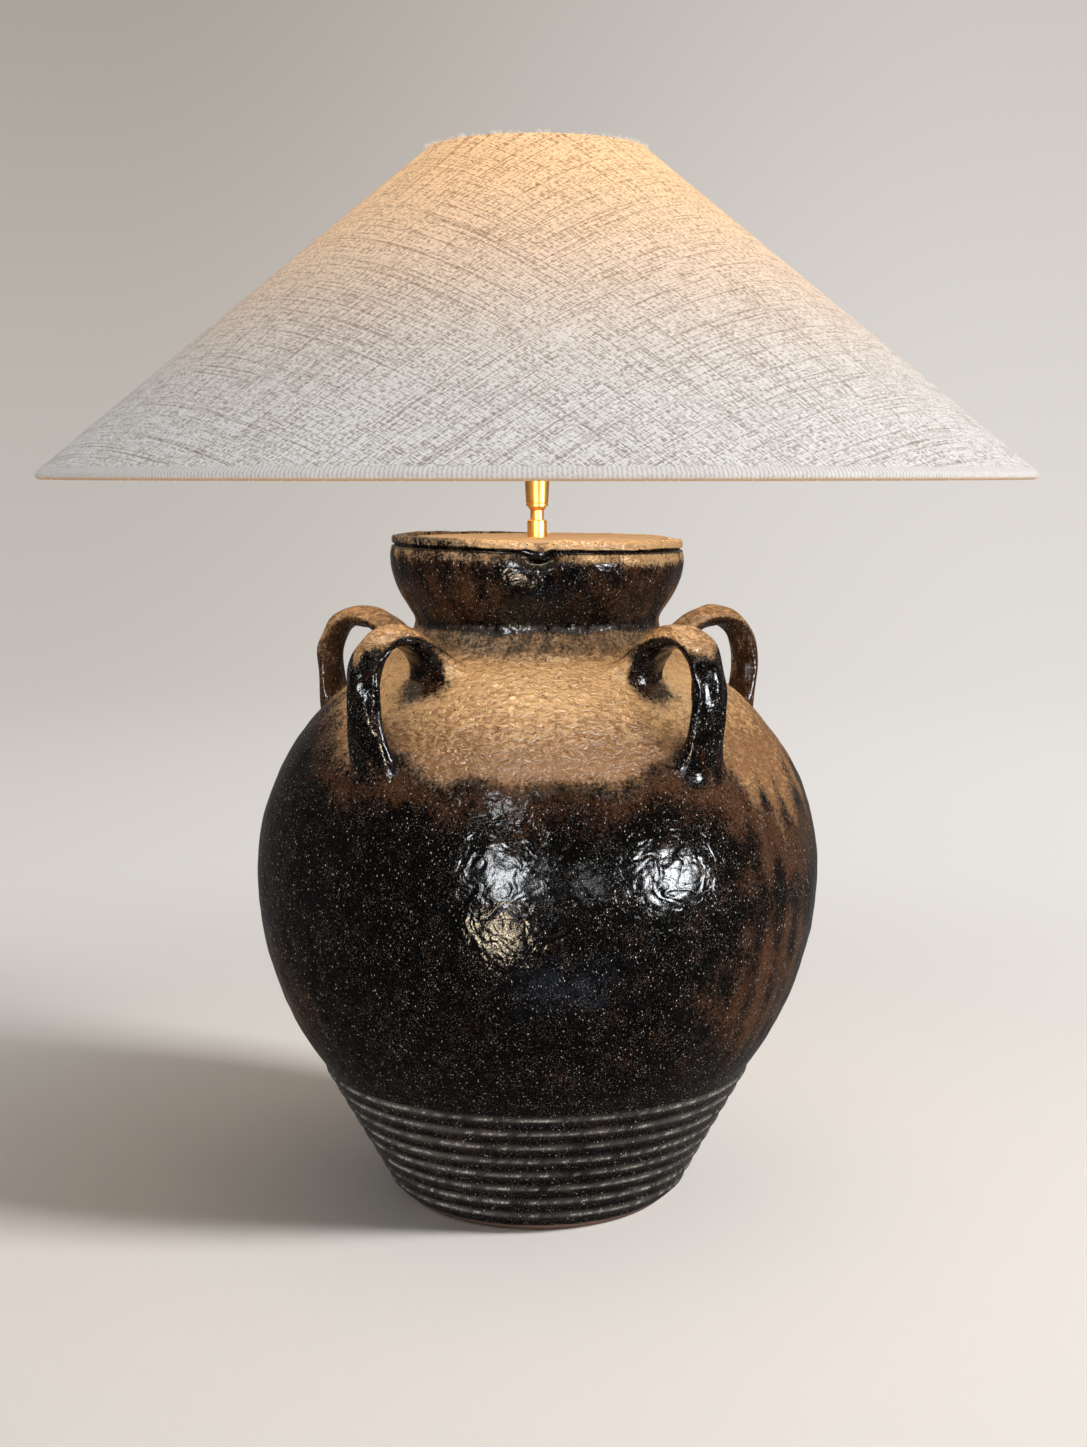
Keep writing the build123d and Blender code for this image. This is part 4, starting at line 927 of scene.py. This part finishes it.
def brass_material(settings):
    """Satin brass: fine turning lines, small changes of roughness and faint tarnish."""
    coat = Coat("satin_brass", settings.brass)
    lines = coat.noise(coat.stretch(coat.place, (60.0, 60.0, 5200.0)), 1.0, 2.0)
    cloud = coat.noise(coat.place, 190.0)
    colour = coat.blend(coat.step(cloud, 0.45, 0.8, 0.0, 0.5), settings.brass, TARNISH)
    rough = coat.plus(lines, 0.14, coat.step(cloud, 0.3, 0.8, 0.26, 0.36))
    normal = coat.bump(lines, 0.00008, 0.5)
    coat.feed(Base_Color=colour, Metallic=1.0, Roughness=rough, Normal=normal)
    return coat.material


def metal_material(name, colour, rough, other):
    """Plated or bare metal with a cloudy change of colour and roughness."""
    coat = Coat(name, colour)
    cloud = coat.noise(coat.place, 240.0, 4.0)
    mixed = coat.blend(coat.step(cloud, 0.4, 0.75), colour, other)
    shine = coat.step(cloud, 0.3, 0.8, rough, rough + 0.2)
    coat.feed(Base_Color=mixed, Metallic=1.0, Roughness=shine, Normal=coat.bump(cloud, 0.00006, 0.5))
    return coat.material


def plain_material(name, colour, other, scale, rough, depth):
    """Matte or moulded stuff: two near colours in a grain of the given scale, with a bump of that grain."""
    coat = Coat(name, colour)
    grain = coat.noise(coat.place, scale, 5.0, 0.6)
    mixed = coat.blend(coat.step(grain, 0.35, 0.65), colour, other)
    coat.feed(Base_Color=mixed, Roughness=rough, Normal=coat.bump(grain, depth, 0.6))
    return coat.material


def wood_material():
    """Turned disc of pale stained wood: straight grain with finer pores."""
    coat = Coat("stained_wood", (0.45, 0.31, 0.18))
    grain = coat.noise(coat.stretch(coat.place, (14.0, 190.0, 190.0)), 1.0, 4.0, 0.6)
    pores = coat.noise(coat.stretch(coat.place, (90.0, 1100.0, 1100.0)), 1.0, 2.0)
    colour = coat.blend(coat.step(grain, 0.35, 0.7), *WOOD)
    colour = coat.blend(coat.step(pores, 0.58, 0.75, 0.0, 0.6), colour, WOOD_PORES)
    coat.feed(Base_Color=colour, Roughness=0.62, Normal=coat.bump(pores, 0.0002, 0.5))
    return coat.material


def frosted_material():
    """Frosted bulb that glows evenly, a little less at its neck."""
    coat = Coat("frosted_glass", (1.0, 0.9, 0.7))
    glow = coat.step(coat.axes()["Z"], *BULB_NECK, 0.8, 3.0)
    frost = coat.noise(coat.place, 700.0, 2.0)
    coat.feed(Base_Color=(0.95, 0.9, 0.8), Roughness=0.35, Normal=coat.bump(frost, 0.00005, 0.4))
    coat.feed(Emission_Color=(1.0, 0.74, 0.42), Emission_Strength=glow)
    return coat.material


def dress(material, *names):
    """Give these solid pieces a material."""
    for name in names:
        nodes[name].data.materials.clear()
        nodes[name].data.materials.append(material)


def shared_glaze(settings):
    """The jar's glaze, made once for the jar and its handles."""
    return bpy.data.materials.get("iron_glaze") or glaze_material(settings)


class BuildJar(bpy.types.Operator):
    """Throw and glaze the jar"""

    bl_idname = "vase_lamp.jar"
    bl_label = "Glazed jar"

    def execute(self, context):
        settings = context.scene.vase_jar
        points, layers = jar_surface(settings)
        rows, columns = points.shape[:2]
        jar = mesh_object("glazed_jar", points, grid_faces(rows, columns, True), layers)
        jar.data.materials.append(shared_glaze(settings))
        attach(jar, "base")
        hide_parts("jar_body", "jar_rim")
        return {"FINISHED"}


class BuildHandles(bpy.types.Operator):
    """Pull the strap handles and lute them to the shoulder"""

    bl_idname = "vase_lamp.handles"
    bl_label = "Strap handles"

    def execute(self, context):
        for seed, (name, degrees) in enumerate(HANDLE_TURNS.items(), 41):
            r, across, z, t, outer = strap_surface(seed)
            turn = math.radians(degrees)
            x = r * math.sin(turn) + across * math.cos(turn)
            y = -r * math.cos(turn) + across * math.sin(turn)
            points = np.stack([x, y, z], -1) * MM
            layers = strap_layers(r, across, z, t, outer, abs(degrees) > 90, seed)
            faces = grid_faces(STRAP_ROWS, STRAP_COLUMNS, False)
            handle = mesh_object("strap_handle_" + name, points, faces, layers)
            handle.data.materials.append(shared_glaze(context.scene.vase_jar))
            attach(handle, "base")
            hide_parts("handle_" + name)
        return {"FINISHED"}


class BuildShade(bpy.types.Operator):
    """Stretch the linen over its wires, with its lining and frayed edges"""

    bl_idname = "vase_lamp.shade"
    bl_label = "Linen shade"

    def execute(self, context):
        settings = context.scene.vase_shade
        points, layers, section, outer_rows = shade_surface()
        rows, columns = points.shape[:2]
        linen = mesh_object("linen_shade", points, grid_faces(rows, columns, True), layers)
        set_map(linen, "cloth", cloth_map(section, outer_rows))
        linen.data.materials.append(linen_material(settings))
        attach(linen, "shade")
        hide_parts("shade_linen")
        ends, quads = loose_threads(settings.loose_threads)
        threads = mesh_object("frayed_threads", ends, quads)
        threads.data.materials.append(thread_material(settings))
        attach(threads, "shade")
        dress(lining_material(), "shade_liner")
        return {"FINISHED"}


class BuildFittings(bpy.types.Operator):
    """Finish the swivel, harp, lamp holder, bulb, closing disc and foot"""

    bl_idname = "vase_lamp.fittings"
    bl_label = "Fittings"

    def execute(self, context):
        settings = context.scene.vase_metal
        dress(brass_material(settings), *BRASS_PIECES)
        dress(metal_material("zinc_plate", settings.steel, 0.3, (0.42, 0.42, 0.4)), *ZINC_PIECES)
        for *looks, pieces in METALS:
            dress(metal_material(*looks), *pieces)
        for *looks, pieces in PLAINS:
            dress(plain_material(*looks), *pieces)
        dress(frosted_material(), "bulb_glass")
        dress(wood_material(), "mouth_cap")
        return {"FINISHED"}


def area_lamp(name, turn, rise, distance, size, power, colour, aim=(0.0, 0.0, 0.35), glossy=True):
    """Soft box at a turn from the front and a rise over the horizon, in degrees, aimed at a point."""
    data = bpy.data.lights.new(name, "AREA")
    data.shape = "RECTANGLE"
    data.size, data.size_y = size
    data.energy = power
    data.color = colour
    lamp = bpy.data.objects.new(name, data)
    turn, rise = math.radians(turn), math.radians(rise)
    away = Vector((math.sin(turn) * math.cos(rise), -math.cos(turn) * math.cos(rise), math.sin(rise)))
    lamp.location = Vector(aim) + away * distance
    lamp.rotation_euler = away.to_track_quat("Z", "Y").to_euler()
    lamp.visible_camera = False
    lamp.visible_glossy = glossy
    bpy.context.scene.collection.objects.link(lamp)
    return lamp


def light_only(lamps, name, pieces):
    """Let these lamps light these pieces alone."""
    group = bpy.data.collections.new(name)
    for piece in pieces:
        group.objects.link(piece)
    for lamp in lamps:
        lamp.light_linking.receiver_collection = group


def paper_material(settings):
    """Matte paper near the lamp; further off, an even pale backdrop that darkens upwards and to the left, a painted
    light falloff.
    """
    coat = Coat("paper_sweep", settings.paper)
    grain = coat.noise(coat.place, 900.0)
    coat.feed(Base_Color=settings.paper, Roughness=0.9, Normal=coat.bump(grain, 0.0002, 0.3))
    axes = coat.axes()
    floor_place = coat.add("CombineXYZ", {"X": axes["X"], "Y": axes["Y"]}).outputs[0]
    reach = coat.add("VectorMath", {0: floor_place}, operation="LENGTH").outputs["Value"]
    # Painted light falloff: the backdrop is brighter to the right, and darker further off and upwards
    side = coat.step(axes["X"], -1.3, 1.3, -1.0, 1.0)
    tone = coat.plus(side, 0.2, 0.74)
    tone = coat.plus(coat.step(reach, 1.0, 4.4), -0.2, tone)
    tone = coat.plus(coat.step(axes["Z"], 0.0, 2.4), -0.3, tone)
    colour = coat.blend(tone, *BACKDROP)
    glow = coat.add("Emission", {"Color": colour})
    rays = coat.add("LightPath")
    seen = coat.calc("MAXIMUM", rays.outputs["Is Camera Ray"], rays.outputs["Is Glossy Ray"])
    seen = coat.calc("MAXIMUM", seen, rays.outputs["Is Transmission Ray"])
    # Painted light: the backdrop fades in from near the foot, so it also lightens the cast shadow further out
    share = coat.times(seen, coat.step(reach, 0.18, 1.25))
    mixed = coat.add("MixShader", {0: share, 1: coat.shader.outputs[0], 2: glow.outputs[0]})
    dim = coat.add("Emission", {"Color": MIRRORED_FLOOR})
    mirrored = coat.times(rays.outputs["Is Glossy Ray"], 0.9)
    mixed = coat.add("MixShader", {0: mirrored, 1: mixed.outputs[0], 2: dim.outputs[0]})
    coat.tree.links.new(mixed.outputs[0], coat.tree.nodes["Material Output"].inputs["Surface"])
    return coat.material


class BuildStage(bpy.types.Operator):
    """Lay the floor, set the lamps and place the camera"""

    bl_idname = "vase_lamp.stage"
    bl_label = "Stage"

    def execute(self, context):
        settings = context.scene.vase_stage
        pieces = [piece for piece in context.scene.objects if piece.type == "MESH"]
        points = studio_sweep()
        rows, columns = points.shape[:2]
        floor = mesh_object("studio_sweep", points, grid_faces(rows, columns, False)[:, ::-1])
        floor.data.materials.append(paper_material(settings))
        lamps = [
            area_lamp("key", 78, 35, 2.2, (0.9, 0.9), settings.key_power, (1.0, 0.985, 0.96), glossy=False),
            area_lamp("top", 40, 82, 2.6, (2.2, 2.2), settings.top_power, (1.0, 0.99, 0.97), glossy=False),
            area_lamp("side", -85, 40, 2.6, (1.8, 1.8), 0.5 * settings.top_power, COOL, glossy=False),
            area_lamp("front", -12, 14, 2.6, (1.2, 1.2), 0.7 * settings.top_power, COOL, glossy=False),
        ]
        for name, turn, rise, distance, size, share, colour, aim in MIRRORED:
            lamp = area_lamp(name, turn, rise, distance, size, share * settings.window_power, colour, aim)
            lamp.visible_diffuse = False
            lamps.append(lamp)
        light_only(lamps, "lamp_pieces", pieces)
        sunlight = (1.0, 0.99, 0.975)
        sun = area_lamp("floor_sun", 69, 28, 4.5, (0.95, 0.95), settings.floor_power, sunlight, glossy=False)
        light_only([sun], "floor_pieces", [floor])
        bulb = bpy.data.lights.new("bulb_light", "POINT")
        bulb.energy = settings.bulb_power
        bulb.color = BULB_COLOUR
        bulb.shadow_soft_size = BULB_R
        lamp = bpy.data.objects.new("bulb_light", bulb)
        lamp.location = BULB_PLACE
        lamp.visible_camera = False
        context.scene.collection.objects.link(lamp)
        unlit = {"shade_liner", "bulb_glass", "mouth_cap"}
        light_only([lamp], "bulb_pieces", [piece for piece in pieces if piece.name not in unlit])
        world = bpy.data.worlds.new("studio_air")
        world.use_nodes = True
        air = world.node_tree.nodes["Background"]
        air.inputs["Color"].default_value = (*AIR_COLOUR, 1.0)
        air.inputs["Strength"].default_value = settings.air
        context.scene.world = world
        camera = bpy.data.cameras.new("camera")
        camera.sensor_width = SENSOR_WIDTH
        camera.lens = FOCAL_PIXELS / IMAGE_HEIGHT * SENSOR_WIDTH
        eye = bpy.data.objects.new("camera", camera)
        eye.location = CAMERA_PLACE
        eye.rotation_euler = (math.radians(90 - CAMERA_PITCH), 0.0, 0.0)
        context.scene.collection.objects.link(eye)
        context.scene.camera = eye
        context.scene.view_settings.view_transform = "Standard"
        return {"FINISHED"}


class VaseLampPanel(bpy.types.Panel):
    """Steps that dress the lamp, in order"""

    bl_idname = "VIEW3D_PT_vase_lamp"
    bl_label = "Vase lamp"
    bl_space_type = "VIEW_3D"
    bl_region_type = "UI"
    bl_category = "Vase lamp"

    def draw(self, context):
        for operator in OPERATORS:
            self.layout.operator(operator.bl_idname)


SETTINGS = {
    "vase_jar": JarSettings,
    "vase_shade": ShadeSettings,
    "vase_metal": MetalSettings,
    "vase_stage": StageSettings,
}
OPERATORS = (BuildJar, BuildHandles, BuildShade, BuildFittings, BuildStage)


def register():
    for cls in (*SETTINGS.values(), *OPERATORS, VaseLampPanel):
        bpy.utils.register_class(cls)
    for name, group in SETTINGS.items():
        setattr(bpy.types.Scene, name, bpy.props.PointerProperty(type=group))


def unregister():
    for name in SETTINGS:
        delattr(bpy.types.Scene, name)
    for cls in reversed((*SETTINGS.values(), *OPERATORS, VaseLampPanel)):
        bpy.utils.unregister_class(cls)


def main():
    """Dress the lamp."""
    register()
    bpy.ops.vase_lamp.jar()
    bpy.ops.vase_lamp.handles()
    bpy.ops.vase_lamp.shade()
    bpy.ops.vase_lamp.fittings()
    bpy.ops.vase_lamp.stage()


if __name__ == "__main__":
    main()
